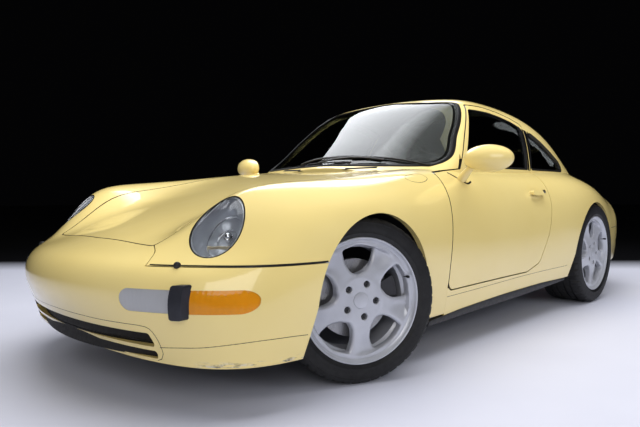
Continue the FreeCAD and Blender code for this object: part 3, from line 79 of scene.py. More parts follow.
class NodeSheet:
    """One material's node tree, with short ways to lay its nodes."""

    def __init__(self, name: str) -> None:
        """Start a material with one Principled shader.

        Args:
            name: the material's name.
        """
        self.material = bpy.data.materials.new(name)
        self.material.use_nodes = True
        self.tree = self.material.node_tree
        self.tree.nodes.clear()
        self.shader = self.add("ShaderNodeBsdfPrincipled")
        out = self.add("ShaderNodeOutputMaterial")
        self.tree.links.new(self.shader.outputs["BSDF"], out.inputs["Surface"])
        self.place = self.add("ShaderNodeTexCoord")

    def add(self, kind: str, **settings: object) -> bpy.types.Node:
        """Add a node.

        Args:
            kind: the node's type.
            settings: attributes to set on it.

        Returns:
            The new node.
        """
        node = self.tree.nodes.new(kind)
        for key, value in settings.items():
            setattr(node, key, value)
        return node

    def feed(self, socket: Socket, value: object) -> None:
        """Link a socket into an input, or set a plain value on it.

        Args:
            socket: the input.
            value: an output socket, a number or a colour.
        """
        if isinstance(value, bpy.types.NodeSocket):
            self.tree.links.new(value, socket)
        elif isinstance(value, (tuple, list)) and len(value) == 3 and socket.type == "RGBA":
            socket.default_value = (*value, 1.0)
        else:
            socket.default_value = value

    def set(self, **values: object) -> "NodeSheet":
        """Set the shader's inputs, an underscore for each space in a name.

        Args:
            values: numbers, colours or sockets by input name.

        Returns:
            The sheet itself.
        """
        for key, value in values.items():
            self.feed(self.shader.inputs[key.replace("_", " ")], value)
        return self

    def noise(self, scale: float, detail: float = 3.0, stretch: Point | None = None) -> Socket:
        """Noise over the piece's own coordinates.

        Args:
            scale: cells per metre.
            detail: octaves.
            stretch: scale along each axis.

        Returns:
            The noise value.
        """
        node = self.add("ShaderNodeTexNoise")
        node.inputs["Scale"].default_value = scale
        node.inputs["Detail"].default_value = detail
        source = self.place.outputs["Object"]
        if stretch:
            mapping = self.add("ShaderNodeMapping")
            mapping.inputs["Scale"].default_value = stretch
            self.feed(mapping.inputs["Vector"], source)
            source = mapping.outputs["Vector"]
        self.feed(node.inputs["Vector"], source)
        return node.outputs["Fac"]

    def span(self, value: Socket, low: float, high: float, first: float = 0.0, last: float = 1.0) -> Socket:
        """Map a value from low..high to first..last, clamped.

        Args:
            value: the value to map.
            low: input at which the result is first.
            high: input at which the result is last.
            first: result at low.
            last: result at high.

        Returns:
            The mapped value.
        """
        node = self.add("ShaderNodeMapRange")
        for key, number in zip(("From Min", "From Max", "To Min", "To Max"), (low, high, first, last)):
            node.inputs[key].default_value = number
        self.feed(node.inputs["Value"], value)
        return node.outputs["Result"]

    def sum(self, operation: str, first: object, second: object = 0.0, third: object = 0.0) -> Socket:
        """One Math node.

        Args:
            operation: the node's operation.
            first: first number or socket.
            second: second number or socket.
            third: third number or socket.

        Returns:
            The result.
        """
        node = self.add("ShaderNodeMath", operation=operation)
        for socket, value in zip(node.inputs, (first, second, third)):
            self.feed(socket, value)
        return node.outputs[0]

    def blend(self, factor: object, first: object, second: object) -> Socket:
        """Mix two colours.

        Args:
            factor: share of the second colour.
            first: colour or socket.
            second: colour or socket.

        Returns:
            The mixed colour.
        """
        node = self.add("ShaderNodeMix", data_type="RGBA")
        self.feed(node.inputs[0], factor)
        self.feed(node.inputs[6], first)
        self.feed(node.inputs[7], second)
        return node.outputs[2]

    def axis(self, source: Socket, letter: str) -> Socket:
        """One component of a vector.

        Args:
            source: the vector.
            letter: X, Y or Z.

        Returns:
            That component.
        """
        node = self.add("ShaderNodeSeparateXYZ")
        self.feed(node.inputs[0], source)
        return node.outputs[letter]

    def bump(self, height: Socket, distance: float, strength: float = 1.0) -> None:
        """Raise the surface by a height, over any bump laid before.

        Args:
            height: the height value.
            distance: metres for a height of one.
            strength: share of the effect.
        """
        node = self.add("ShaderNodeBump")
        node.inputs["Strength"].default_value = strength
        node.inputs["Distance"].default_value = distance
        self.feed(node.inputs["Height"], height)
        target = self.shader.inputs["Normal"]
        if target.links:
            self.feed(node.inputs["Normal"], target.links[0].from_socket)
        self.feed(target, node.outputs["Normal"])


@dataclass(frozen=True)
class CarPaint:
    """Pale solid paint under clear lacquer, with dark trim on the panels' inner faces and, with a gap axis,
    the walls of panel gaps painted dark as painted shade.
    """

    colour: Colour = (0.86, 0.69, 0.27)
    # Dark trim colour of the inner faces, also used as the painted shade on the walls of panel gaps.
    inside: Colour = (0.012, 0.012, 0.013)
    scuffed: bool = False
    # Faces whose normal has little of this axis are gap walls, painted dark as painted shade.
    gap_shade_axis: str = ""
    # Whether inner faces get the dark trim and gap walls the painted shade.
    lined: bool = True

    def build(self) -> bpy.types.Material:
        """The paint's material."""
        name = "body_paint" + ("_scuffed" if self.scuffed else "") + self.gap_shade_axis.lower()
        sheet = NodeSheet(name + ("" if self.lined else "_all_round"))
        normal, where = sheet.place.outputs["Normal"], sheet.place.outputs["Object"]
        terms = []
        for letter, middle, weight in (("X", 0.0, 1.2), ("Y", 0.0, 0.12), ("Z", 0.62, 0.6)):
            arm = sheet.sum("SUBTRACT", sheet.axis(where, letter), middle)
            arm = sheet.sum("MULTIPLY", arm, weight)
            terms.append(sheet.sum("MULTIPLY", arm, sheet.axis(normal, letter)))
        facing = sheet.sum("ADD", sheet.sum("ADD", terms[0], terms[1]), terms[2])
        inner = sheet.span(facing, -0.10, -0.16)
        inner = sheet.sum("MULTIPLY", inner, sheet.span(sheet.axis(normal, "Z"), 0.45, 0.25))
        # Gap walls painted dark: painted shade in the shut lines.
        if self.gap_shade_axis:
            level = sheet.sum("ABSOLUTE", sheet.axis(normal, self.gap_shade_axis))
            inner = sheet.sum("MAXIMUM", inner, sheet.span(level, 0.24, 0.16))
        cloud = sheet.span(sheet.noise(2.2, 2), 0.35, 0.65)
        deeper = tuple(value * factor for value, factor in zip(self.colour, (0.975, 0.965, 0.93)))
        colour = sheet.blend(cloud, self.colour, deeper)
        roughness = sheet.span(sheet.noise(14, 4), 0.3, 0.7, 0.30, 0.38)
        if self.scuffed:
            colour, roughness = self.scuff(sheet, where, colour, roughness)
        # Dark trim on inner faces, painted shade on gap walls.
        if self.lined:
            colour = sheet.blend(inner, colour, self.inside)
        sheet.set(Base_Color=colour, Roughness=roughness, Coat_Weight=1.0, Coat_Roughness=0.03, Coat_IOR=1.5)
        sheet.bump(sheet.noise(420, 2), 0.00004, 0.35)
        return sheet.material

    @staticmethod
    def scuff(sheet: NodeSheet, where: Socket, colour: Socket, roughness: Socket) -> tuple[Socket, Socket]:
        """Scrapes along the low corner of the front bumper, on the car's left.

        Args:
            sheet: the paint's node sheet.
            where: coordinates of the surface.
            colour: the clean colour.
            roughness: the clean roughness.

        Returns:
            Colour and roughness with the scrapes.
        """
        low = sheet.span(sheet.axis(where, "Z"), 0.196, 0.172)
        along = sheet.span(sheet.axis(where, "Y"), -1.90, -1.86)
        corner = sheet.span(sheet.axis(where, "X"), 0.50, 0.56)
        streaks = sheet.span(sheet.noise(42, 6, (0.5, 0.5, 3.0)), 0.50, 0.60)
        mask = sheet.sum("MULTIPLY", low, along)
        mask = sheet.sum("MULTIPLY", mask, sheet.sum("MULTIPLY", corner, streaks))
        bare = sheet.blend(sheet.span(sheet.noise(60, 3), 0.42, 0.58), (0.62, 0.60, 0.55), (0.05, 0.05, 0.05))
        rough = sheet.sum("MAXIMUM", roughness, sheet.sum("MULTIPLY", mask, 0.8))
        return sheet.blend(mask, colour, bare), rough


@dataclass(frozen=True)
class Moulding:
    """Black plastic or rubber, from satin to matte."""

    name: str
    colour: Colour = (0.014, 0.014, 0.015)
    roughness: float = 0.5
    grain: float = 900.0
    depth: float = 0.00006

    def build(self) -> bpy.types.Material:
        """The moulding's material."""
        sheet = NodeSheet(self.name)
        paler = tuple(value * 1.35 + 0.003 for value in self.colour)
        sheet.set(
            Base_Color=sheet.blend(sheet.span(sheet.noise(30, 4), 0.4, 0.7), self.colour, paler),
            Roughness=sheet.span(sheet.noise(70, 3), 0.3, 0.7, self.roughness - 0.06, self.roughness + 0.08),
        )
        sheet.bump(sheet.noise(self.grain, 2), self.depth, 0.6)
        return sheet.material


@dataclass(frozen=True)
class Metal:
    """Bare or lacquered metal."""

    name: str
    colour: Colour
    roughness: float
    metallic: float = 1.0
    coat: float = 0.0
    grain: float = 300.0
    depth: float = 0.00003

    def build(self) -> bpy.types.Material:
        """The metal's material."""
        sheet = NodeSheet(self.name)
        darker = tuple(value * 0.88 for value in self.colour)
        sheet.set(
            Base_Color=sheet.blend(sheet.span(sheet.noise(9, 4), 0.4, 0.65), self.colour, darker),
            Roughness=sheet.span(sheet.noise(40, 4), 0.3, 0.7, self.roughness * 0.85, self.roughness * 1.2),
            Metallic=self.metallic,
            Coat_Weight=self.coat,
            Coat_Roughness=0.08,
        )
        sheet.bump(sheet.noise(self.grain, 3), self.depth, 0.5)
        return sheet.material


@dataclass(frozen=True)
class TurnedIron:
    """Brake disc iron with the rings that the pads leave."""

    name: str = "disc_iron"

    def build(self) -> bpy.types.Material:
        """The iron's material."""
        sheet = NodeSheet(self.name)
        radius = sheet.add("ShaderNodeVectorMath", operation="LENGTH")
        mapping = sheet.add("ShaderNodeMapping")
        mapping.inputs["Scale"].default_value = (0, 1, 1)
        sheet.feed(mapping.inputs["Vector"], sheet.place.outputs["Object"])
        sheet.feed(radius.inputs[0], mapping.outputs["Vector"])
        rings = sheet.add("ShaderNodeTexNoise", noise_dimensions="1D")
        rings.inputs["Scale"].default_value = 420
        sheet.feed(rings.inputs["W"], radius.outputs["Value"])
        swept = sheet.span(radius.outputs["Value"], 0.088, 0.092)
        sheet.set(
            Base_Color=sheet.blend(swept, (0.10, 0.085, 0.075), (0.42, 0.42, 0.43)),
            Roughness=sheet.span(rings.outputs["Fac"], 0.3, 0.7, 0.25, 0.45),
            Metallic=0.9,
        )
        sheet.bump(rings.outputs["Fac"], 0.0003, 0.5)
        return sheet.material


@dataclass(frozen=True)
class ClearGlass:
    """Tinted or clear glass and lamp lenses."""

    name: str
    colour: Colour
    roughness: float = 0.0
    ribs: float = 0.0
    clear: float = 1.0

    def build(self) -> bpy.types.Material:
        """The glass's material."""
        sheet = NodeSheet(self.name)
        deeper = tuple(value * 0.96 for value in self.colour)
        tint = sheet.blend(sheet.span(sheet.noise(3.0, 2), 0.4, 0.6), self.colour, deeper)
        sheet.set(Base_Color=tint, Roughness=self.roughness, Transmission_Weight=self.clear, IOR=1.45)
        if self.ribs:
            wave = sheet.add("ShaderNodeTexWave", wave_type="BANDS", bands_direction="X")
            wave.inputs["Scale"].default_value = self.ribs
            sheet.feed(wave.inputs["Vector"], sheet.place.outputs["Object"])
            sheet.bump(wave.outputs["Fac"], 0.0006, 0.7)
        return sheet.material


@dataclass(frozen=True)
class Hide:
    """Soft leather with a fine grain."""

    name: str = "black_leather"
    colour: Colour = (0.022, 0.022, 0.024)

    def build(self) -> bpy.types.Material:
        """The leather's material."""
        sheet = NodeSheet(self.name)
        cells = sheet.add("ShaderNodeTexVoronoi", feature="DISTANCE_TO_EDGE")
        cells.inputs["Scale"].default_value = 420
        sheet.feed(cells.inputs["Vector"], sheet.place.outputs["Object"])
        worn = tuple(value * 1.8 + 0.006 for value in self.colour)
        sheet.set(
            Base_Color=sheet.blend(sheet.span(sheet.noise(7, 5), 0.45, 0.72), self.colour, worn),
            Roughness=sheet.span(sheet.noise(20, 4), 0.3, 0.7, 0.42, 0.58),
        )
        sheet.bump(sheet.span(cells.outputs["Distance"], 0.0, 0.18), 0.00025, 0.6)
        sheet.bump(sheet.noise(26, 3), 0.0012, 0.35)
        return sheet.material


class Finishes:
    """Every finish of the car, built once."""

    def __init__(self) -> None:
        """Build the materials."""
        self.paint = CarPaint().build()
        self.scuffed = CarPaint(scuffed=True).build()
        # Lid and door paints paint their gap walls dark, as painted shade.
        self.lid_paint_shaded_gaps = CarPaint(gap_shade_axis="Z").build()
        self.door_paint_shaded_gaps = CarPaint(gap_shade_axis="X").build()
        # Paint without the dark trim and without the painted gap shade.
        self.clean_paint = CarPaint(lined=False).build()
        self.satin = Moulding("satin_black").build()
        self.rubber = Moulding("window_rubber", (0.006, 0.006, 0.007), 0.55, 500).build()
        self.seam = Moulding("seam_black", (0.005, 0.004, 0.003), 0.7).build()
        self.gloss = Moulding("gloss_black", (0.005, 0.005, 0.006), 0.16).build()
        self.navy = Moulding("guard_black", (0.010, 0.011, 0.018), 0.42).build()
        self.pale = Moulding("plate_white", (0.68, 0.68, 0.67), 0.4).build()
        self.tyre = Moulding("tyre_rubber", (0.007, 0.007, 0.0075), 0.62, 700, 0.0001).build()
        self.underseal = Moulding("underseal", (0.016, 0.016, 0.016), 0.8, 160, 0.0006).build()
        self.silver = Metal("rim_silver", (0.56, 0.575, 0.63), 0.36, 0.35, 0.35).build()
        self.warm = Metal("warm_reflector", (0.86, 0.74, 0.52), 0.30, 0.6).build()
        self.bowl = Metal("lamp_silver", (0.66, 0.69, 0.74), 0.36, 0.35).build()
        self.chrome = Metal("reflector", (0.90, 0.90, 0.91), 0.08).build()
        self.steel = Metal("plain_steel", (0.42, 0.42, 0.42), 0.38).build()
        # Caliper paint, also lining the wheel-bolt recesses as painted shade.
        self.dark_iron = Metal("caliper_paint", (0.030, 0.030, 0.033), 0.35, 0.3, 0.3).build()
        self.alloy = Metal("cast_alloy", (0.30, 0.30, 0.31), 0.5, 0.9, 0.0, 120, 0.0003).build()
        self.disc = TurnedIron().build()
        self.screen = ClearGlass("screen_glass", (0.34, 0.37, 0.37)).build()
        self.clear = ClearGlass("lamp_glass", (0.95, 0.97, 1.0), 0.04, 9).build()
        self.ribbed = ClearGlass("ribbed_lens", (0.62, 0.63, 0.66), 0.04, 22, clear=0.35).build()
        self.amber = ClearGlass("amber_lens", (1.0, 0.38, 0.015), 0.05, 22, clear=0.3).build()
        self.red = ClearGlass("red_lens", (0.62, 0.010, 0.010), 0.05, 14).build()
        self.leather = Hide().build()


def new_object(name: str, verts: Iterable[Point], faces: Iterable[Sequence[int]], finish: bpy.types.Material,
               smooth: bool = True) -> bpy.types.Object:
    """Make a mesh object in the scene.

    Args:
        name: the piece's name.
        verts: its points.
        faces: its faces as point numbers.
        finish: its material.
        smooth: whether its faces shade smoothly.

    Returns:
        The object.
    """
    mesh = bpy.data.meshes.new(name)
    mesh.from_pydata([tuple(v) for v in verts], [], [tuple(f) for f in faces])
    mesh.validate()
    if smooth:
        mesh.shade_smooth()
    thing = bpy.data.objects.new(name, mesh)
    bpy.context.scene.collection.objects.link(thing)
    thing.data.materials.append(finish)
    return thing


def clean_up(thing: bpy.types.Object, merge: float = 1e-5) -> None:
    """Weld doubled points and turn all faces outward.

    Args:
        thing: the object.
        merge: distance under which points are one.
    """
    work = bmesh.new()
    work.from_mesh(thing.data)
    bmesh.ops.remove_doubles(work, verts=work.verts, dist=merge)
    bmesh.ops.recalc_face_normals(work, faces=work.faces)
    work.to_mesh(thing.data)
    work.free()


def crease(thing: bpy.types.Object, degrees: float = 35.0) -> None:
    """Keep edges sharper than an angle crisp.

    Args:
        thing: the object.
        degrees: the angle.
    """
    work = bmesh.new()
    work.from_mesh(thing.data)
    limit = math.radians(degrees)
    for edge in work.edges:
        edge.smooth = not (len(edge.link_faces) == 2 and edge.calc_face_angle(0.0) > limit)
    for face in work.faces:
        face.smooth = True
    work.to_mesh(thing.data)
    work.free()


def unit_circle(count: int) -> list[tuple[float, float]]:
    """Cosine and sine at even steps of one turn."""
    return [(math.cos(2 * math.pi * k / count), math.sin(2 * math.pi * k / count)) for k in range(count)]


@dataclass
class Bag:
    """Points and faces of several closed shapes gathered in one mesh."""

    verts: list[Vector] = field(default_factory=list)
    faces: list[tuple[int, ...]] = field(default_factory=list)

    def take(self, verts: Iterable[Point], faces: Iterable[Sequence[int]],
             place: Matrix | None = None) -> None:
        """Add a shape.

        Args:
            verts: its points.
            faces: its faces.
            place: where it goes.
        """
        start = len(self.verts)
        self.verts += [(place @ Vector(v)) if place else Vector(v) for v in verts]
        self.faces += [tuple(i + start for i in f) for f in faces]

    def grid(self, rows: Sequence[Sequence[Point]], loop_u: bool = False, loop_v: bool = True,
             caps: bool = False, place: Matrix | None = None) -> None:
        """Add a surface through rows of points.

        Args:
            rows: equally long rows.
            loop_u: whether the last row joins the first.
            loop_v: whether each row closes on itself.
            caps: whether the first and last rows are filled.
            place: where it goes.
        """
        wide = len(rows[0])
        faces = []
        for i in range(len(rows) if loop_u else len(rows) - 1):
            for j in range(wide if loop_v else wide - 1):
                a, b = i * wide, ((i + 1) % len(rows)) * wide
                k = (j + 1) % wide
                faces.append((a + j, a + k, b + k, b + j))
        if caps:
            faces.append(tuple(reversed(range(wide))))
            faces.append(tuple(range((len(rows) - 1) * wide, len(rows) * wide)))
        self.take([p for row in rows for p in row], faces, place)

    def lathe(self, profile: Sequence[tuple[float, float]], steps: int, closed: bool = True,
              place: Matrix | None = None) -> None:
        """Add a shape turned about the X axis.

        Args:
            profile: points as distance along X and radius.
            steps: divisions of the turn.
            closed: whether the profile is a loop.
            place: where it goes.
        """
        rows = [[(x, r * c, r * n) for c, n in unit_circle(steps)] for x, r in profile]
        self.grid(rows, loop_u=closed, caps=not closed, place=place)

    def piece(self, name: str, finish: bpy.types.Material, sharp: float = 35.0) -> bpy.types.Object:
        """Make the gathered shapes one object.

        Args:
            name: its name.
            finish: its material.
            sharp: angle above which edges stay crisp.

        Returns:
            The object.
        """
        thing = new_object(name, self.verts, self.faces, finish)
        clean_up(thing)
        crease(thing, sharp)
        return thing


def along_path(points: Sequence[Point], section: Sequence[tuple[float, float]], ups: Sequence[Vector],
               closed: bool) -> list[list[Vector]]:
    """Rings of a section carried along a path.

    Args:
        points: the path.
        section: the section's points, as side and up distances.
        ups: the up direction at each point.
        closed: whether the path is a loop.

    Returns:
        One ring of points for each path point.
    """
    path = [Vector(p) for p in points]
    rings = []
    for i, here in enumerate(path):
        before = path[i - 1] if (i or closed) else here
        after = path[(i + 1) % len(path)] if (i + 1 < len(path) or closed) else here
        run = (after - before).normalized()
        side = run.cross(ups[i]).normalized()
        up = side.cross(run)
        rings.append([here + side * a + up * b for a, b in section])
    return rings


def dress(nodes: Iterable[str], finish: bpy.types.Material) -> None:
    """Give CAD nodes a finish.

    Args:
        nodes: the nodes' names.
        finish: the material.
    """
    for name in nodes:
        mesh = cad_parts[name].data
        mesh.materials.clear()
        mesh.materials.append(finish)


class Skin:
    """The outside of some CAD nodes, to lay things on."""

    def __init__(self, nodes: Iterable[str]) -> None:
        """Gather the nodes' faces.

        Args:
            nodes: their names.
        """
        verts: list[Vector] = []
        faces: list[tuple[int, ...]] = []
        for name in nodes:
            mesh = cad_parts[name].data
            start = len(verts)
            verts += [v.co.copy() for v in mesh.vertices]
            faces += [tuple(i + start for i in p.vertices) for p in mesh.polygons]
        self.tree = BVHTree.FromPolygons(verts, faces)

    def drop(self, start: Point, way: Point) -> tuple[Vector, Vector]:
        """Where a ray from outside meets the skin.

        Args:
            start: the ray's start.
            way: its direction.

        Returns:
            The point and the outward normal there.
        """
        spot, normal, _, _ = self.tree.ray_cast(Vector(start), Vector(way).normalized())
        if spot is None:
            spot, normal, _, _ = self.tree.find_nearest(Vector(start))
        if normal.dot(Vector(way)) > 0:
            normal = -normal
        return spot, normal


class Edge:
    """The outline of a pane's or panel's outer face, read from its node."""

    def __init__(self, node: str, outward: Point, where: Callable[[Vector], bool] = lambda p: True,
                 count: int = 120) -> None:
        """Find the outline.

        Args:
            node: the CAD node.
            outward: the way that the outer face looks.
            where: which part of the node is meant.
            count: points of the outline.
        """
        work = bmesh.new()
        work.from_mesh(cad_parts[node].data)
        bmesh.ops.remove_doubles(work, verts=work.verts, dist=1e-6)
        work.faces.ensure_lookup_table()
        look = Vector(outward).normalized()
        patch = {f.index for f in work.faces if f.normal.dot(look) > 0.35 and where(f.calc_center_median())}
        border: dict[int, list[int]] = {}
        for edge in work.edges:
            if sum(f.index in patch for f in edge.link_faces) == 1:
                a, b = (v.index for v in edge.verts)
                border.setdefault(a, []).append(b)
                border.setdefault(b, []).append(a)
        work.verts.ensure_lookup_table()
        loops: list[list[int]] = []
        left = set(border)
        while left:
            start = left.pop()
            loop, here = [start], start
            while True:
                onward = [k for k in border[here] if k in left]
                if not onward:
                    break
                here = onward[0]
                left.discard(here)
                loop.append(here)
            loops.append(loop)
        loop = max(loops, key=lambda l: sum((work.verts[l[i]].co - work.verts[l[i - 1]].co).length
                                            for i in range(len(l))))
        raw = [work.verts[i].co.copy() for i in loop]
        normals = {i: sum((f.normal * f.calc_area() for f in work.verts[i].link_faces if f.index in patch),
                          Vector()).normalized() for i in loop}
        raw_normals = [normals[i] for i in loop]
        work.free()
        self.points, self.normals = self.even(raw, raw_normals, count)
        self.middle = sum(self.points, Vector()) / len(self.points)

    @staticmethod
    def even(raw: list[Vector], normals: list[Vector], count: int) -> tuple[list[Vector], list[Vector]]:
        """Space a loop's points evenly.

        Args:
            raw: the loop.
            normals: the normal at each point.
            count: how many points to give.

        Returns:
            The new points and normals.
        """
        steps = [(raw[(i + 1) % len(raw)] - raw[i]).length for i in range(len(raw))]
        total, out, out_normals = sum(steps), [], []
        i, gone = 0, 0.0
        for k in range(count):
            want = total * k / count
            while gone + steps[i] < want:
                gone += steps[i]
                i += 1
            share = (want - gone) / max(steps[i], 1e-9)
            j = (i + 1) % len(raw)
            out.append(raw[i].lerp(raw[j], share))
            out_normals.append(normals[i].lerp(normals[j], share).normalized())
        return out, out_normals

    def ease(self, rounds: int) -> None:
        """Take small waves out of the outline.

        Args:
            rounds: how often each point moves towards its neighbours.
        """
        count = len(self.points)
        for _ in range(rounds):
            after = [(i + 1) % count for i in range(count)]
            spots, ups = self.points, self.normals
            self.points = [0.5 * spots[i] + 0.25 * (spots[i - 1] + spots[after[i]]) for i in range(count)]
            self.normals = [(ups[i] + ups[i - 1] + ups[after[i]]).normalized() for i in range(count)]

    def band(self, inward: float, outward: float, proud: float, sunk: float = 0.002) -> list[list[Vector]]:
        """Rings of a flat, rounded band that follows the outline.

        Args:
            inward: reach over the pane.
            outward: reach over the frame.
            proud: height over the surface.
            sunk: depth under the surface.

        Returns:
            The rings, for a closed grid.
        """
        rings = []
        count = len(self.points)
        for i, here in enumerate(self.points):
            run = (self.points[(i + 1) % count] - self.points[i - 1]).normalized()
            up = self.normals[i]
            side = run.cross(up).normalized()
            if side.dot(here - self.middle) < 0:
                side = -side
            section = ((-inward, -sunk), (-inward, proud * 0.5), (-inward * 0.6, proud),
                       (outward * 0.6, proud), (outward, proud * 0.4), (outward, -sunk))
            rings.append([here + side * a + up * b for a, b in section])
        return rings


class Studio:
    """Pale floor with a painted falloff into black, soft lamps, a dark surround and the camera."""

    FOCAL_PIXELS = 582.359
    IMAGE_WIDTH = 640
    SENSOR = 36.0
    CAMERA_PLACE = (2.19128, -2.93633, 0.73325)
    CAMERA_YAW, CAMERA_PITCH, CAMERA_ROLL = 2.33751, -0.03918, -0.00187
    DAY, WARM, COOL = (1.0, 0.99, 0.97), (1.0, 0.98, 0.95), (0.97, 0.98, 1.0)
    LAMPS = (
        ("overhead", (0.3, -0.2, 3.6), (0, -0.1, 0), (5.2, 3.4), 215, DAY, False),
        ("front_box", (3.6, -4.4, 2.4), (0.2, -0.8, 0.5), (3.2, 2.2), 60, WARM, True),
        ("left_box", (5.0, 0.6, 2.2), (0.0, 0.2, 0.6), (3.0, 1.6), 45, COOL, False),
        ("right_box", (-4.6, -0.8, 2.6), (0.0, 0.0, 0.6), (3.0, 1.8), 40, COOL, False),
        ("rear_box", (0.0, 5.2, 2.6), (0.0, 0.6, 0.7), (3.4, 1.6), 40, COOL, False),
    )
    VIEW_DEPTH = (-0.694, 0.719, 0.0)
    # Depths at which the floor's painted falloff of light starts and turns black.
    PALE_UNTIL, DARK_FROM = 1.75, 2.45
    FLOOR_RADIUS, FLOOR_STEPS, FLOOR_DROP = 30.0, 96, -0.0005
    CARD = ((-2.40, -1.2, 3.0), (-0.2, -1.2, 3.0), (-0.2, 2.4, 3.0), (-2.40, 2.4, 3.0))
    CARD_GLOW = 5.0

    def __init__(self) -> None:
        """Keep the scene at hand."""
        self.scene = bpy.context.scene

    def build(self) -> None:
        """Make floor, lamps, world and camera."""
        self.scene.view_settings.view_transform = "Standard"
        self.floor()
        self.world()
        for lamp in self.LAMPS:
            self.softbox(*lamp)
        self.reflector()
        self.camera()

    def floor(self) -> None:
        """Lay the pale floor, its colour painted to black away from the car as a painted falloff of light."""
        sheet = NodeSheet("studio_floor")
        far = sheet.add("ShaderNodeVectorMath", operation="DOT_PRODUCT")
        sheet.feed(far.inputs[0], sheet.place.outputs["Object"])
        far.inputs[1].default_value = self.VIEW_DEPTH
        # Colour painted from pale to black with depth along the view: painted falloff of light.
        painted_falloff = sheet.span(far.outputs["Value"], self.PALE_UNTIL, self.DARK_FROM)
        cloud = sheet.span(sheet.noise(1.5, 3), 0.3, 0.7)
        pale = sheet.blend(cloud, (0.58, 0.595, 0.70), (0.61, 0.625, 0.73))
        sheet.set(Base_Color=sheet.blend(painted_falloff, pale, (0.004, 0.004, 0.005)), Roughness=0.55,
                  Specular_IOR_Level=0.25)
        ring = [(self.FLOOR_RADIUS * c, self.FLOOR_RADIUS * n, self.FLOOR_DROP)
                for c, n in unit_circle(self.FLOOR_STEPS)]
        floor = new_object("studio_floor", ring, [tuple(range(len(ring)))], sheet.material, smooth=False)

    def world(self) -> None:
        """Dark to the camera and in reflections, a dim even grey as light."""
        world = bpy.data.worlds.new("studio")
        self.scene.world = world
        world.use_nodes = True
        tree = world.node_tree
        tree.nodes.clear()
        path = tree.nodes.new("ShaderNodeLightPath")
        mix = tree.nodes.new("ShaderNodeMix")
        mix.data_type = "RGBA"
        mix.inputs[6].default_value = (0.001, 0.001, 0.0012, 1)
        mix.inputs[7].default_value = (0.26, 0.265, 0.28, 1)
        ground = tree.nodes.new("ShaderNodeBackground")
        out = tree.nodes.new("ShaderNodeOutputWorld")
        tree.links.new(path.outputs["Is Diffuse Ray"], mix.inputs[0])
        tree.links.new(mix.outputs[2], ground.inputs["Color"])
        tree.links.new(ground.outputs[0], out.inputs["Surface"])

    def reflector(self) -> None:
        """Hang the bright card that the glass mirrors, sharp on one edge, fading on the other."""
        sheet = NodeSheet("reflector_card")
        where = sheet.place.outputs["Object"]
        glow = sheet.span(sheet.axis(where, "X"), -0.8, -0.25, 1.0, 0.0)
        glow = sheet.sum("MULTIPLY", glow, sheet.span(sheet.axis(where, "Y"), -0.9, -0.3))
        sheet.set(Base_Color=(0, 0, 0), Emission_Color=(0.93, 0.96, 1.0),
                  Emission_Strength=sheet.sum("MULTIPLY", glow, self.CARD_GLOW))
        card = new_object("reflector_card", self.CARD, [(0, 3, 2, 1)], sheet.material, smooth=False)
        card.visible_camera = card.visible_diffuse = card.visible_transmission = card.visible_shadow = False

    def softbox(self, name: str, place: Point, target: Point, size: tuple[float, float], power: float,
                colour: Colour, mirrored_too: bool) -> None:
        """Hang a rectangular lamp.

        Args:
            name: its name.
            place: its middle.
            target: the point that it faces.
            size: width and height.
            power: watts.
            colour: its light.
            mirrored_too: whether glossy surfaces show it.
        """
        lamp = bpy.data.lights.new(name, "AREA")
        lamp.shape, lamp.size, lamp.size_y = "RECTANGLE", *size
        lamp.energy, lamp.color = power, colour
        thing = bpy.data.objects.new(name, lamp)
        thing.location = place
        thing.rotation_mode = "QUATERNION"
        thing.rotation_quaternion = (Vector(target) - Vector(place)).to_track_quat("-Z", "Y")
        thing.visible_camera = False
        thing.visible_glossy = mirrored_too
        self.scene.collection.objects.link(thing)

    def camera(self) -> None:
        """Stand the camera where the photograph was taken."""
        yaw, pitch, roll = self.CAMERA_YAW, self.CAMERA_PITCH, self.CAMERA_ROLL
        ahead = Vector((math.cos(pitch) * math.cos(yaw), math.cos(pitch) * math.sin(yaw), math.sin(pitch)))
        right = ahead.cross(Vector((0, 0, 1))).normalized()
        up = right.cross(ahead)
        c, n = math.cos(roll), math.sin(roll)
        right, up = right * c + up * n, up * c - right * n
        data = bpy.data.cameras.new("camera")
        data.sensor_width = self.SENSOR
        data.lens = self.FOCAL_PIXELS / self.IMAGE_WIDTH * self.SENSOR
        data.clip_start, data.clip_end = 0.05, 100
        thing = bpy.data.objects.new("camera", data)
        thing.matrix_world = Matrix((
            *((right[i], up[i], -ahead[i], self.CAMERA_PLACE[i]) for i in range(3)), (0, 0, 0, 1)))
        self.scene.collection.objects.link(thing)
        self.scene.camera = thing


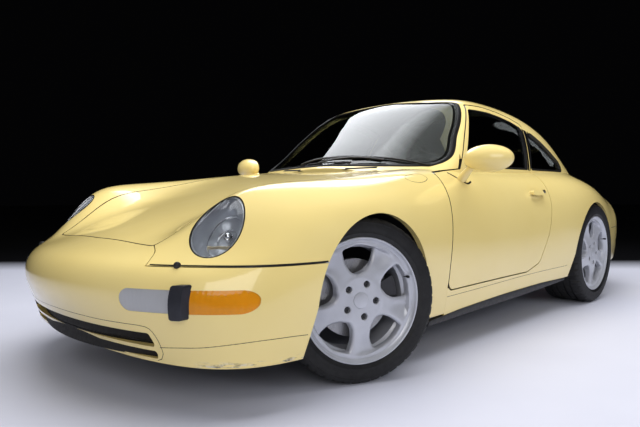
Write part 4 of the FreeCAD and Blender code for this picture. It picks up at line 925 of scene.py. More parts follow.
@dataclass
class Bodywork:
    """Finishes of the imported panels, glass and running gear."""

    finishes: Finishes
    painted: tuple[str, ...] = (
        "front_fender_left", "front_fender_right", "cowl_panel", "roof_frame", "quarter_panel_left",
        "quarter_panel_right", "rear_bumper", "sill_panels", "tail_panel", "door_handle_left",
        "door_handle_right", "mirror_left", "mirror_right")

    def build(self) -> None:
        """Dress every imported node."""
        f = self.finishes
        dress(self.painted, f.paint)
        # Lids and doors get paint with their gap walls painted dark, as painted shade.
        dress(("front_lid", "engine_lid"), f.lid_paint_shaded_gaps)
        dress(("door_left", "door_right"), f.door_paint_shaded_gaps)
        dress(("front_bumper",), f.scuffed)
        dress(("windscreen", "rear_window", "door_glass_left", "door_glass_right", "quarter_glass"), f.screen)
        dress(("headlamp_lenses",), f.clear)
        dress(("headlamp_bowls",), f.bowl)
        dress(("fog_lamps",), f.ribbed)
        dress(("indicators",), f.amber)
        dress(("tail_lamps",), f.red)
        dress(("bumper_guards",), f.navy)
        dress(("wheel_liners", "dashboard"), f.satin)
        dress(("floor_pan", "luggage_tub", "front_links", "rear_links"), f.underseal)
        dress(("front_seats", "rear_seats", "steering_wheel"), f.leather)
        dress(("engine_block",), f.alloy)
        dress(("exhaust", "drive_shaft_left", "drive_shaft_right", "hinges"), f.steel)
        dress(("front_knuckle_left", "front_knuckle_right"), f.dark_iron)
        corners = [f"{end.value}_{side.word}" for end in End for side in Side]
        dress([f"brake_disc_{corner}" for corner in corners], f.disc)
        dress([f"rim_{corner}" for corner in corners], f.silver)
        dress([f"tyre_{corner}" for corner in corners], f.tyre)
        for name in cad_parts:
            log.info("dressed %s", name)


def rounded_loop(corners: Sequence[tuple[float, float, float]], per_corner: int = 12) -> list[Vector]:
    """A closed outline with rounded corners.

    Args:
        corners: points and the rounding at each.
        per_corner: points along each rounding.

    Returns:
        The outline's points.
    """
    out: list[Vector] = []
    for i, (a, b, radius) in enumerate(corners):
        here = Vector((a, b))
        before = Vector(corners[i - 1][:2]) - here
        after = Vector(corners[(i + 1) % len(corners)][:2]) - here
        half = before.angle(after) / 2
        reach = min(radius / math.tan(half), before.length * 0.49, after.length * 0.49)
        first, last = here + before.normalized() * reach, here + after.normalized() * reach
        for k in range(per_corner + 1):
            t = k / per_corner
            out.append(first * (1 - t) ** 2 + here * 2 * t * (1 - t) + last * t ** 2)
    return out


def resample(line: Sequence[Vector], count: int) -> list[Vector]:
    """Evenly spaced points along an open line, its last point left out.

    Args:
        line: the line's points.
        count: how many to give.

    Returns:
        The points.
    """
    steps = [(line[i + 1] - line[i]).length for i in range(len(line) - 1)]
    total, out, i, gone = sum(steps), [], 0, 0.0
    for k in range(count):
        want = total * k / count
        while i < len(steps) - 1 and gone + steps[i] < want:
            gone += steps[i]
            i += 1
        out.append(line[i].lerp(line[i + 1], (want - gone) / max(steps[i], 1e-9)))
    return out


def smooth_step(value: float) -> float:
    """Ease from 0 to 1 over the range 0 to 1."""
    value = min(1.0, max(0.0, value))
    return value * value * (3 - 2 * value)


@dataclass
class RimPlate:
    """A fifth of the rim's face: a plate round one opening, bounded by two spoke lines and two arcs."""

    opening: list[Vector]
    marks: tuple[int, int, int, int]
    inner: float
    outer: float
    counts: tuple[int, int, int]
    height: Callable[[float, float, float], float]
    back: Callable[[float], float]
    swirl: float = 0.0
    rings: tuple[float, ...] = (0.0, 0.05, 0.11, 0.19, 0.3, 0.44, 0.6, 0.8, 1.0)

    def line(self, side: int, radius: float) -> Vector:
        """A point of a spoke line.

        Args:
            side: -1 or 1.
            radius: its radius.

        Returns:
            The point.
        """
        share = 1 - (radius - self.inner) / (self.outer - self.inner)
        angle = math.radians(90 + side * 36 + self.swirl * share)
        return Vector((radius * math.cos(angle), radius * math.sin(angle)))

    def arc(self, radius: float, start: int, count: int) -> list[Vector]:
        """Points of an arc between the spoke lines, its last left out."""
        first, last = self.line(start, radius), self.line(-start, radius)
        a, b = math.atan2(first.y, first.x), math.atan2(last.y, last.x)
        if abs(b - a) > math.pi:
            b += 2 * math.pi if b < a else -2 * math.pi
        turns = [a + (b - a) * k / count for k in range(count)]
        return [Vector((radius * math.cos(t), radius * math.sin(t))) for t in turns]

    def solid(self) -> tuple[list[Vector], list[tuple[int, ...]], int]:
        """The plate's points and faces.

        Returns:
            Points, faces and the number of points in a ring.
        """
        top, side, bottom = self.counts
        a, b, c, d = self.marks
        loop = self.opening
        parts = [(a, b, top), (b, c, side), (c, d, bottom), (d, a, side)]
        hole: list[Vector] = []
        for start, end, count in parts:
            run = loop[start:end + 1] if end > start else loop[start:] + loop[:end + 1]
            hole += resample(run, count)
        down = [self.outer + (self.inner - self.outer) * k / side for k in range(side)]
        rise = [self.inner + (self.outer - self.inner) * k / side for k in range(side)]
        edge = (self.arc(self.outer, -1, top) + [self.line(1, r) for r in down]
                + self.arc(self.inner, 1, bottom) + [self.line(-1, r) for r in rise])
        wide, verts, faces = len(hole), [], []
        flat = [[h.lerp(e, t) for h, e in zip(hole, edge)] for t in self.rings]
        for layer in range(2):
            for ring in flat:
                for j, p in enumerate(ring):
                    r, t = p.length, math.degrees(math.atan2(p.y, p.x)) - 90
                    x = self.back(r) if layer else self.height(r, t, (p - hole[j]).length)
                    verts.append(Vector((x, p.x, p.y)))
        deep = len(self.rings)
        for i in range(deep - 1):
            for j in range(wide):
                k = (j + 1) % wide
                faces.append((i * wide + j, i * wide + k, (i + 1) * wide + k, (i + 1) * wide + j))
                m = (i + deep) * wide
                faces.append((m + j, m + wide + j, m + wide + k, m + k))
        for j in range(wide):
            k = (j + 1) % wide
            faces.append((j, deep * wide + j, deep * wide + k, k))
            if j < top or top + side <= j < top + side + bottom:
                m, n = (deep - 1) * wide, (2 * deep - 1) * wide
                faces.append((m + j, m + k, n + k, n + j))
        return verts, faces, wide


@dataclass
class Wheel:
    """One wheel: cast five-spoke rim, tyre and small parts, in the wheel's own frame with X outward."""

    finishes: Finishes
    side: Side
    end: End
    flange: float = 0.241
    bead: float = 0.228
    hub_face: float = 0.026
    spokes: int = 5
    bolt_circle: float = 0.065
    bolt_room: float = 0.0128
    turn: float = 92.0
    window: tuple[tuple[float, float, float], ...] = (
        (0.207, -20, 0.016), (0.213, 0, 0.1), (0.207, 20, 0.016), (0.150, 22, 0.09), (0.114, 18, 0.035),
        (0.097, 6, 0.022), (0.113, -13, 0.035), (0.150, -21.5, 0.09))

    def __post_init__(self) -> None:
        """Work out the wheel's place and widths."""
        front = self.end is End.FRONT
        s = self.side.value
        self.half = 0.108 if front else 0.126
        self.radius = 0.3185 if front else 0.3213
        self.tyre_half = 0.1125 if front else 0.1325
        self.face = self.half - 0.014
        steer = STEER if front else 0.0
        if front:
            arm = Vector((0.0225 * s, 0, 0))
            arm.rotate(Matrix.Rotation(steer, 3, "Z"))
            centre = Vector((0.680 * s, FRONT_AXLE, self.radius)) + arm
        else:
            centre = Vector((0.722 * s, REAR_AXLE, self.radius))
        self.place = Matrix.Translation(centre) @ Matrix.Rotation(steer + (0 if s > 0 else math.pi), 4, "Z")
        self.corner = f"{self.end.value}_{self.side.word}"
        self.body = f"wheel_{self.corner}"

    def put(self, thing: bpy.types.Object, *nodes: str) -> bpy.types.Object:
        """Stand a piece at the wheel's place, to turn with it.

        Args:
            thing: the piece.
            nodes: CAD nodes that it stands for.

        Returns:
            The piece.
        """
        thing.data.transform(self.place)
        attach(thing, self.body)
        if nodes:
            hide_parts(*nodes)
        log.info("built %s", thing.name)
        return thing

    def build(self) -> None:
        """Build the wheel's pieces."""
        self.rim()
        self.small_parts()
        self.tyre()

    def plate_height(self, r: float, t: float, off: float) -> float:
        """Height of the spoke plate's face.

        Args:
            r: radius.
            t: degrees from the window's middle.
            off: distance from the window's edge.

        Returns:
            Distance along the axle.
        """
        rise = 0.003 * smooth_step((r - 0.17) / 0.04) + 0.002 * smooth_step((0.1 - r) / 0.015)
        x = self.face - 0.003 + rise
        across = t + 36 if t < 0 else t - 36
        twist = smooth_step((across + 12) / 20) * smooth_step((r - 0.100) / 0.095)
        twist *= 1 - smooth_step((r - 0.2045) / 0.0045)
        edge = max(0.0, 1 - off / 0.009)
        return x - 0.015 * twist - 0.007 * edge * edge

    def rim(self) -> None:
        """Cast rim: spoke plate, hub plate, lip and barrel."""
        bag = Bag()
        corners = [(r * math.cos(math.radians(90 + t)), r * math.sin(math.radians(90 + t)), k)
                   for r, t, k in self.window]
        loop = rounded_loop(corners, 12)
        marks = tuple(6 + 13 * k for k in (0, 2, 4, 6))
        plate = RimPlate(loop, marks, 0.084, 0.219, (26, 22, 14), self.plate_height,
                         lambda r: self.face - 0.034 - 0.012 * smooth_step((0.15 - r) / 0.06), 4.0)
        verts, faces, _ = plate.solid()
        for k in range(self.spokes):
            turn = Matrix.Rotation(math.radians(self.turn - 90 + 72 * k), 4, "X")
            bag.take(verts, faces, turn)
        turns = (math.radians(degrees) for degrees in range(45, 405, 5))
        hole = [Vector((self.bolt_room * math.cos(a), self.bolt_circle + self.bolt_room * math.sin(a)))
                for a in turns]
        hub = RimPlate(hole + hole[:1], (0, 18, 36, 54), 0.0315, 0.0842, (18, 12, 8),
                       lambda r, t, off: self.face - 0.001 - 0.0025 * max(0.0, 1 - off / 0.003),
                       lambda r: self.hub_face)
        verts, faces, _ = hub.solid()
        for k in range(self.spokes):
            turn = Matrix.Rotation(math.radians(self.turn - 25 - 90 + 72 * k), 4, "X")
            bag.take(verts, faces, turn)
        h, b, g = self.half, self.bead, self.flange
        bag.lathe([
            (self.face, 0.2185), (self.face - 0.001, 0.2215), (h - 0.011, 0.2285), (h - 0.005, 0.2325),
            (h - 0.0012, 0.2345), (h, 0.2372), (h - 0.0004, 0.2395), (h - 0.002, g), (h - 0.0068, g),
            (h - 0.0112, b), (h - 0.038, b), (h - 0.058, b - 0.02), (0.058 - h, b - 0.02), (0.038 - h, b),
            (0.011 - h, b), (0.007 - h, g), (-h, g), (-h, g - 0.008), (0.010 - h, b - 0.009),
            (0.042 - h, b - 0.009), (0.062 - h, b - 0.028), (h - 0.062, b - 0.028),
            (self.face - 0.034, 0.2165)], 128)
        bag.lathe([(self.face - 0.004, 0.0305), (self.face - 0.001, 0.0312), (self.face + 0.0008, 0.0295),
                   (self.face + 0.0022, 0.022), (self.face + 0.003, 0.010), (self.face + 0.0032, 0.0005),
                   (self.face - 0.004, 0.0005)], 64)
        thing = bag.piece(f"alloy_rim_{self.corner}", self.finishes.silver, 32)
        self.put(thing, f"rim_{self.corner}")

    def small_parts(self) -> None:
        """Wheel bolts deep in their recesses, each recess lined dark as painted shade, and the valve."""
        bag = Bag()
        for k in range(self.spokes):
            angle = math.radians(self.turn - 25 + 72 * k)
            circle, face = self.bolt_circle, self.face
            spot = Matrix.Translation((0, circle * math.cos(angle), circle * math.sin(angle)))
            # Dark sleeve and floor lining each bolt recess: painted shade.
            bag.lathe([(self.hub_face + 0.001, 0.0124), (face - 0.022, 0.0124), (face - 0.020, 0.0108),
                       (face - 0.020, 0.0095)], 24, closed=False, place=spot)
            bag.lathe([(face - 0.022, 0.0092), (face - 0.011, 0.0092), (face - 0.009, 0.0078),
                       (face - 0.009, 0.0046), (face - 0.013, 0.0040)], 6, closed=False, place=spot)
        self.put(bag.piece(f"wheel_bolts_{self.corner}", self.finishes.dark_iron, 30))
        valve = Bag()
        angle = math.radians(self.turn - 70)
        spot = Matrix.Translation((0, 0.2135 * math.cos(angle), 0.2135 * math.sin(angle)))
        valve.lathe([(self.face - 0.020, 0.0045), (self.face + 0.002, 0.0045), (self.face + 0.004, 0.0055),
                     (self.face + 0.013, 0.0052), (self.face + 0.015, 0.004)], 20, closed=False, place=spot)
        self.put(valve.piece(f"valve_{self.corner}", self.finishes.rubber))

    def tyre(self) -> None:
        """Low tyre with sidewall rings, tread grooves and shoulder cuts."""
        h, r, g, foot = self.tyre_half, self.radius, self.flange, self.half - 0.0112
        flank = [(foot, self.bead + 0.0002), (foot + 0.0035, g + 0.0004), (self.half - 0.002, g + 0.0022),
                 (h - 0.004, g + 0.010), (h - 0.0005, g + 0.016), (h - 0.0015, g + 0.019), (h, g + 0.030),
                 (h - 0.0005, r - 0.034), (h - 0.003, r - 0.024), (h - 0.0022, r - 0.0225),
                 (h - 0.006, r - 0.014), (h - 0.012, r - 0.007), (h - 0.020, r - 0.0028),
                 (h - 0.029, r - 0.0010)]
        tread: list[tuple[float, float]] = []
        for middle in (0.62, 0.24, -0.24, -0.62):
            x = middle * (h - 0.026)
            tread += [(x + 0.0048, r - 0.0002), (x + 0.0038, r - 0.0075), (x - 0.0038, r - 0.0075),
                      (x - 0.0048, r - 0.0002)]
        profile = flank + tread + [(-x, q) for x, q in reversed(flank)]
        rows = []
        for x, q in profile:
            shoulder = abs(x) > h - 0.032 and q > r - 0.012
            block = not shoulder and q > r - 0.001
            slant = int(round(x * 240)) if block else 0
            row = []
            for k, (c, n) in enumerate(unit_circle(288)):
                cut = 0.0055 if shoulder and k % 6 == 0 else 0.0
                if block and (k + slant) % 9 == 0:
                    cut = 0.0045
                row.append((x, (q - cut) * c, (q - cut) * n))
            rows.append(row)
        bag = Bag()
        bag.grid(rows, loop_u=True)
        thing = bag.piece(f"road_tyre_{self.corner}", self.finishes.tyre, 28)
        self.put(thing, f"tyre_{self.corner}")


def mirrored(points: Iterable[Point], side: Side) -> list[Vector]:
    """Left-hand points, or their copies on the car's right side."""
    return [Vector((p[0] * side.value, p[1], p[2])) for p in points]


def smooth_path(points: Sequence[Point], step: float = 0.02) -> list[Vector]:
    """A curve through points, closely divided.

    Args:
        points: what it passes.
        step: distance between its points.

    Returns:
        The curve's points.
    """
    known = [Vector(p) for p in points]
    out: list[Vector] = []
    for i in range(len(known) - 1):
        a, b = known[max(i - 1, 0)], known[i]
        c, d = known[i + 1], known[min(i + 2, len(known) - 1)]
        count = max(1, int((c - b).length / step))
        for k in range(count):
            t = k / count
            out.append(0.5 * (2 * b + (c - a) * t + (2 * a - 5 * b + 4 * c - d) * t * t
                              + (3 * b - a - 3 * c + d) * t ** 3))
    return out + [known[-1]]


class Trim:
    """Lays rubbers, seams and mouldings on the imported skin."""

    SKIN_WORDS = ("front", "cowl", "roof", "quarter", "rear", "sill", "tail", "engine", "door", "windscreen")
    OTHER_WORDS = ("seat", "link", "knuckle", "handle", "block")
    PROFILE = ((-1, -1), (-1, 0.4), (-0.6, 1), (0.6, 1), (1, 0.4), (1, -1))
    PANES = (
        ("windscreen", (0, -0.6, 0.8), 0.014, 0.009, 0.0065),
        ("rear_window", (0, 0.5, 0.8), 0.014, 0.008, 0.006),
    )
    BUMPER_JOINT = (
        (0.462, -1.962), (0.509, -1.941), (0.562, -1.909), (0.617, -1.871), (0.675, -1.8255),
        (0.7115, -1.792), (0.7393, -1.762), (0.763, -1.730), (0.784, -1.692), (0.798, -1.662),
        (0.818, -1.606), (0.834, -1.541), (0.8424, -1.494))
    VALANCE_SEAM = (
        (0.521, -1.951, 0.226), (0.594, -1.923, 0.233), (0.656, -1.890, 0.238), (0.730, -1.828, 0.249),
        (0.781, -1.748, 0.256), (0.812, -1.647, 0.256), (0.824, -1.575, 0.252))
    MOUTH_SEAM = (
        (0.0, -2.070, 0.301), (0.171, -2.058, 0.299), (0.284, -2.039, 0.297), (0.382, -2.016, 0.297),
        (0.468, -1.991, 0.296), (0.500, -1.977, 0.288), (0.517, -1.963, 0.262), (0.524, -1.952, 0.235),
        (0.526, -1.942, 0.205), (0.515, -1.941, 0.185), (0.496, -1.944, 0.177))
    SILL_CREASE = (
        (0.818, -0.700, 0.262), (0.811, -0.394, 0.264), (0.810, 0.040, 0.271), (0.824, 0.544, 0.276),
        (0.835, 0.640, 0.277))
    STRIP_TOP = (
        (0.807, -0.833, 0.172), (0.803, -0.564, 0.187), (0.800, -0.167, 0.198), (0.804, 0.309, 0.205),
        (0.812, 0.640, 0.202))
    STRIP_FOOT = (
        (0.803, -0.835, 0.148), (0.799, -0.644, 0.151), (0.796, -0.363, 0.155), (0.798, 0.076, 0.162),
        (0.808, 0.640, 0.184))
    FRONT_JOINT_HEIGHT, REAR_JOINT_HEIGHT = 0.4925, 0.470

    def __init__(self, finishes: Finishes) -> None:
        """Gather the skin.

        Args:
            finishes: the car's finishes.
        """
        self.finishes = finishes
        self.skin = Skin(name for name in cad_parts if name.split("_")[0] in self.SKIN_WORDS
                         and not any(word in name for word in self.OTHER_WORDS))

    def keep(self, thing: bpy.types.Object, body: str = "root", slot: str = "trim") -> bpy.types.Object:
        """Hang a piece on its body and report it."""
        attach(thing, body)
        log.info("built %s", thing.name)
        return thing

    def lay(self, bag: Bag, points: Sequence[Point], half: float | Sequence[float], proud: float,
            eye: Point | None = None, sunk: float = 0.0015) -> None:
        """Add a low band that follows the skin.

        Args:
            bag: where it goes.
            points: its middle line, near the skin.
            half: half its width, or one for each point.
            proud: its height over the skin.
            eye: a point inside the car towards which the skin is looked for, else one in its middle plane.
            sunk: its depth in the skin.
        """
        spots, ups = [], []
        for p in points:
            here = Vector(p)
            middle = Vector(eye) if eye else Vector((0.0, here.y, 0.5))
            way = (middle - here).normalized()
            spot, normal = self.skin.drop(here - way * 0.12, way)
            if (spot - here).length > 0.14:
                spot, normal, _, _ = self.skin.tree.find_nearest(here)
                if normal.dot(way) > 0:
                    normal = -normal
            spots.append(spot)
            ups.append(normal)
        for _ in range(3):
            ups = [(ups[max(i - 1, 0)] + ups[i] + ups[min(i + 1, len(ups) - 1)]).normalized()
                   for i in range(len(ups))]
        widths = [half] * len(spots) if isinstance(half, float) else list(half)
        rings = []
        for spot, up, wide, ring in zip(spots, ups, widths, along_path(spots, self.PROFILE, ups, False)):
            side = (ring[3] - ring[2]).normalized()
            rings.append([spot + side * a * wide + up * (proud * b if b > 0 else -sunk)
                          for a, b in self.PROFILE])
        bag.grid(rings, caps=True)

    def outline_piece(self, name: str, rings: list[list[Vector]], finish: bpy.types.Material,
                      body: str = "root") -> None:
        """Build a band round a pane.

        Args:
            name: the piece's name.
            rings: the band's rings.
            finish: its material.
            body: what it rides on.
        """
        bag = Bag()
        bag.grid(rings, loop_u=True)
        self.keep(bag.piece(name, finish, 50), body)

    def build(self) -> None:
        """Lay every rubber, seam and moulding."""
        self.panes()
        self.seams()
        self.sill_strips()
        self.pillar_plates()

    def panes(self) -> None:
        """Rubbers round the panes, and dark rims behind windscreen and rear window."""
        f = self.finishes
        for name, look, inward, outward, proud in self.PANES:
            edge = Edge(name, look, count=200)
            edge.ease(8)
            self.outline_piece(f"{name}_rubber", edge.band(inward, outward, proud), f.rubber)
            self.outline_piece(f"{name}_dark_rim", edge.band(0.036, -0.002, -0.0062, 0.0075), f.seam)
        for side in Side:
            s, word = side.value, side.word
            look = (s, 0, 0.4)
            edge = Edge(f"door_glass_{word}", look, count=160)
            self.outline_piece(f"door_glass_rubber_{word}", edge.band(0.012, 0.0015, 0.011), f.rubber,
                               f"door_{word}_body")
            edge = Edge("quarter_glass", look, lambda p, s=s: p.x * s > 0, 120)
            self.outline_piece(f"quarter_glass_rubber_{word}", edge.band(0.012, 0.003, 0.013), f.rubber)

    def seams(self) -> None:
        """Black joints of the bumpers, and the finer ones of valance, intake and sill."""
        bold, fine = Bag(), Bag()
        front = smooth_path([(x, y, self.FRONT_JOINT_HEIGHT) for x, y in self.BUMPER_JOINT], 0.015)
        turns = (math.radians(degrees) for degrees in range(-10, 89, 3))
        back = [(0.25 + 0.6 * math.cos(a), 1.52 + 0.62 * math.sin(a), self.REAR_JOINT_HEIGHT) for a in turns]
        thin = [smooth_path(self.VALANCE_SEAM), smooth_path(self.MOUTH_SEAM, 0.012)]
        crease_line = smooth_path(self.SILL_CREASE, 0.03)
        for side in Side:
            s = side.value
            self.lay(bold, mirrored(front, side), 0.0030, 0.0006, (0.30 * s, -1.45, self.FRONT_JOINT_HEIGHT))
            self.lay(bold, mirrored(back, side), 0.0024, 0.0005, (0.25 * s, 1.52, self.REAR_JOINT_HEIGHT))
            for line in thin:
                self.lay(fine, mirrored(line, side), 0.0011, 0.0003, (0.1 * s, -1.5, 0.3))
            self.lay(fine, mirrored(crease_line, side), 0.0010, 0.0003)
        self.keep(bold.piece("bumper_seams", self.finishes.rubber, 60))
        self.keep(fine.piece("panel_seams", self.finishes.seam, 60))

    def sill_strips(self) -> None:
        """Black strips under the sills, between the wheel arches."""
        bag = Bag()
        steps = 40
        for side in Side:
            rings = []
            for k in range(steps + 1):
                top, low = (self.between(line, k / steps) for line in (self.STRIP_TOP, self.STRIP_FOOT))
                ring = [(top.x + 0.002, top.z), (top.x + 0.004, (top.z * 2 + low.z) / 3),
                        (low.x + 0.003, low.z + 0.004), (low.x, low.z), (low.x - 0.018, low.z),
                        (low.x - 0.022, low.z + 0.006), (top.x - 0.020, top.z)]
                rings.append([Vector((x * side.value, top.y, z)) for x, z in ring])
            bag.grid(rings, caps=True)
        self.keep(bag.piece("sill_strips", self.finishes.satin, 40))

    @staticmethod
    def between(line: Sequence[Point], share: float) -> Vector:
        """The point at a share of a line's reach along Y."""
        y = line[0][1] + (line[-1][1] - line[0][1]) * share
        for a, b in zip(line, line[1:]):
            if y <= b[1] + 1e-9:
                t = (y - a[1]) / (b[1] - a[1])
                return Vector(a).lerp(Vector(b), max(0.0, min(1.0, t)))
        return Vector(line[-1])

    def pillar_plates(self) -> None:
        """Black plates between door glass and quarter glass, one on the door and one on the body."""
        steps = 16
        shares = [k / steps for k in range(steps + 1)]
        for side in Side:
            plates = (("door", (0.6866, 0.4315, 0.856), (0.590, 0.521, 1.112), 0.0098, 0.0085),
                      ("body", (0.684, 0.4567, 0.856), (0.586, 0.552, 1.098), 0.0046, 0.0185))
            for name, low, high, first, last in plates:
                line = [Vector(low).lerp(Vector(high), t) for t in shares]
                bag = Bag()
                self.lay(bag, mirrored(line, side), [first + (last - first) * t for t in shares], 0.0008,
                         None, 0.001)
                self.keep(bag.piece(f"{name}_pillar_plate_{side.word}", self.finishes.gloss, 60),
                          f"door_{side.word}_body" if name == "door" else "root")


@dataclass
class Headlamp:
    """Rim, reflector ring, bulb shield and lower bar of one headlamp, in the lamp's own frame."""

    finishes: Finishes
    side: Side
    middle: Point = (0.574, -1.752, 0.610)
    outward: Point = (0.2165, -0.6766, 0.7038)
    upward: Point = (-0.2764, 0.6491, 0.7087)

    def build(self) -> None:
        """Build the lamp's pieces."""
        s = self.side.value
        middle, out, up = mirrored((self.middle, self.outward, self.upward), self.side)
        out.normalize()
        up = (up - out * up.dot(out)).normalized()
        across = up.cross(out)
        self.place = Matrix.Translation(middle) @ Matrix((across, up, out)).transposed().to_4x4()
        bag = Bag()
        edge = Edge("headlamp_lenses", out, lambda p: p.x * s > 0, 120)
        bag.grid(edge.band(0.0042, 0.0012, 0.0022), loop_u=True)
        self.keep(bag.piece(f"headlamp_rim_{self.side.word}", self.finishes.rubber, 50), "trim")
        rings = Bag()
        self.oval(rings, 0.060, 0.088, 0.0028, -0.046, 0.006)
        self.oval(rings, 0.034, 0.040, 0.0022, -0.060, 0.014)
        self.keep(rings.piece(f"reflector_rings_{self.side.word}", self.finishes.chrome, 50), "lamp_bowl")
        shield = Bag()
        turned = Matrix.Translation((0, 0.012, -0.105)) @ Matrix.Rotation(-math.pi / 2, 4, "Y")
        shield.lathe([(0.0, 0.020), (0.030, 0.0185), (0.044, 0.015), (0.052, 0.0085), (0.0545, 0.001)], 32,
                     closed=False, place=turned)
        self.keep(shield.piece(f"bulb_shield_{self.side.word}", self.finishes.chrome, 40), "lamp_bowl")
        bar = Bag()
        rows = [[(x, -0.046 + 0.0055 * c, -0.056 + 0.0055 * n) for c, n in unit_circle(12)]
                for x in (-0.052, -0.050, 0.050, 0.052)]
        bar.grid(rows, caps=True)
        self.keep(bar.piece(f"lamp_bar_{self.side.word}", self.finishes.warm, 40), "lamp_bowl")

    def oval(self, bag: Bag, wide: float, tall: float, thick: float, depth: float, skirt: float) -> None:
        """Add an oval ring with a skirt behind it.

        Args:
            bag: where it goes.
            wide: half width.
            tall: half height.
            thick: thickness.
            depth: place along the lamp's axis.
            skirt: reach backwards.
        """
        section = ((0, 0), (thick * 0.5, thick * 0.6), (thick, 0), (thick, -skirt), (0, -skirt))
        bag.grid([[((wide + a) * c, (tall + a) * n, depth + b) for a, b in section]
                  for c, n in unit_circle(72)], loop_u=True)

    def keep(self, thing: bpy.types.Object, slot: str) -> None:
        """Stand a piece in the lamp, or where it is if it follows the lens."""
        if "rim" not in thing.name:
            thing.data.transform(self.place)
        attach(thing, "root")
        log.info("built %s", thing.name)


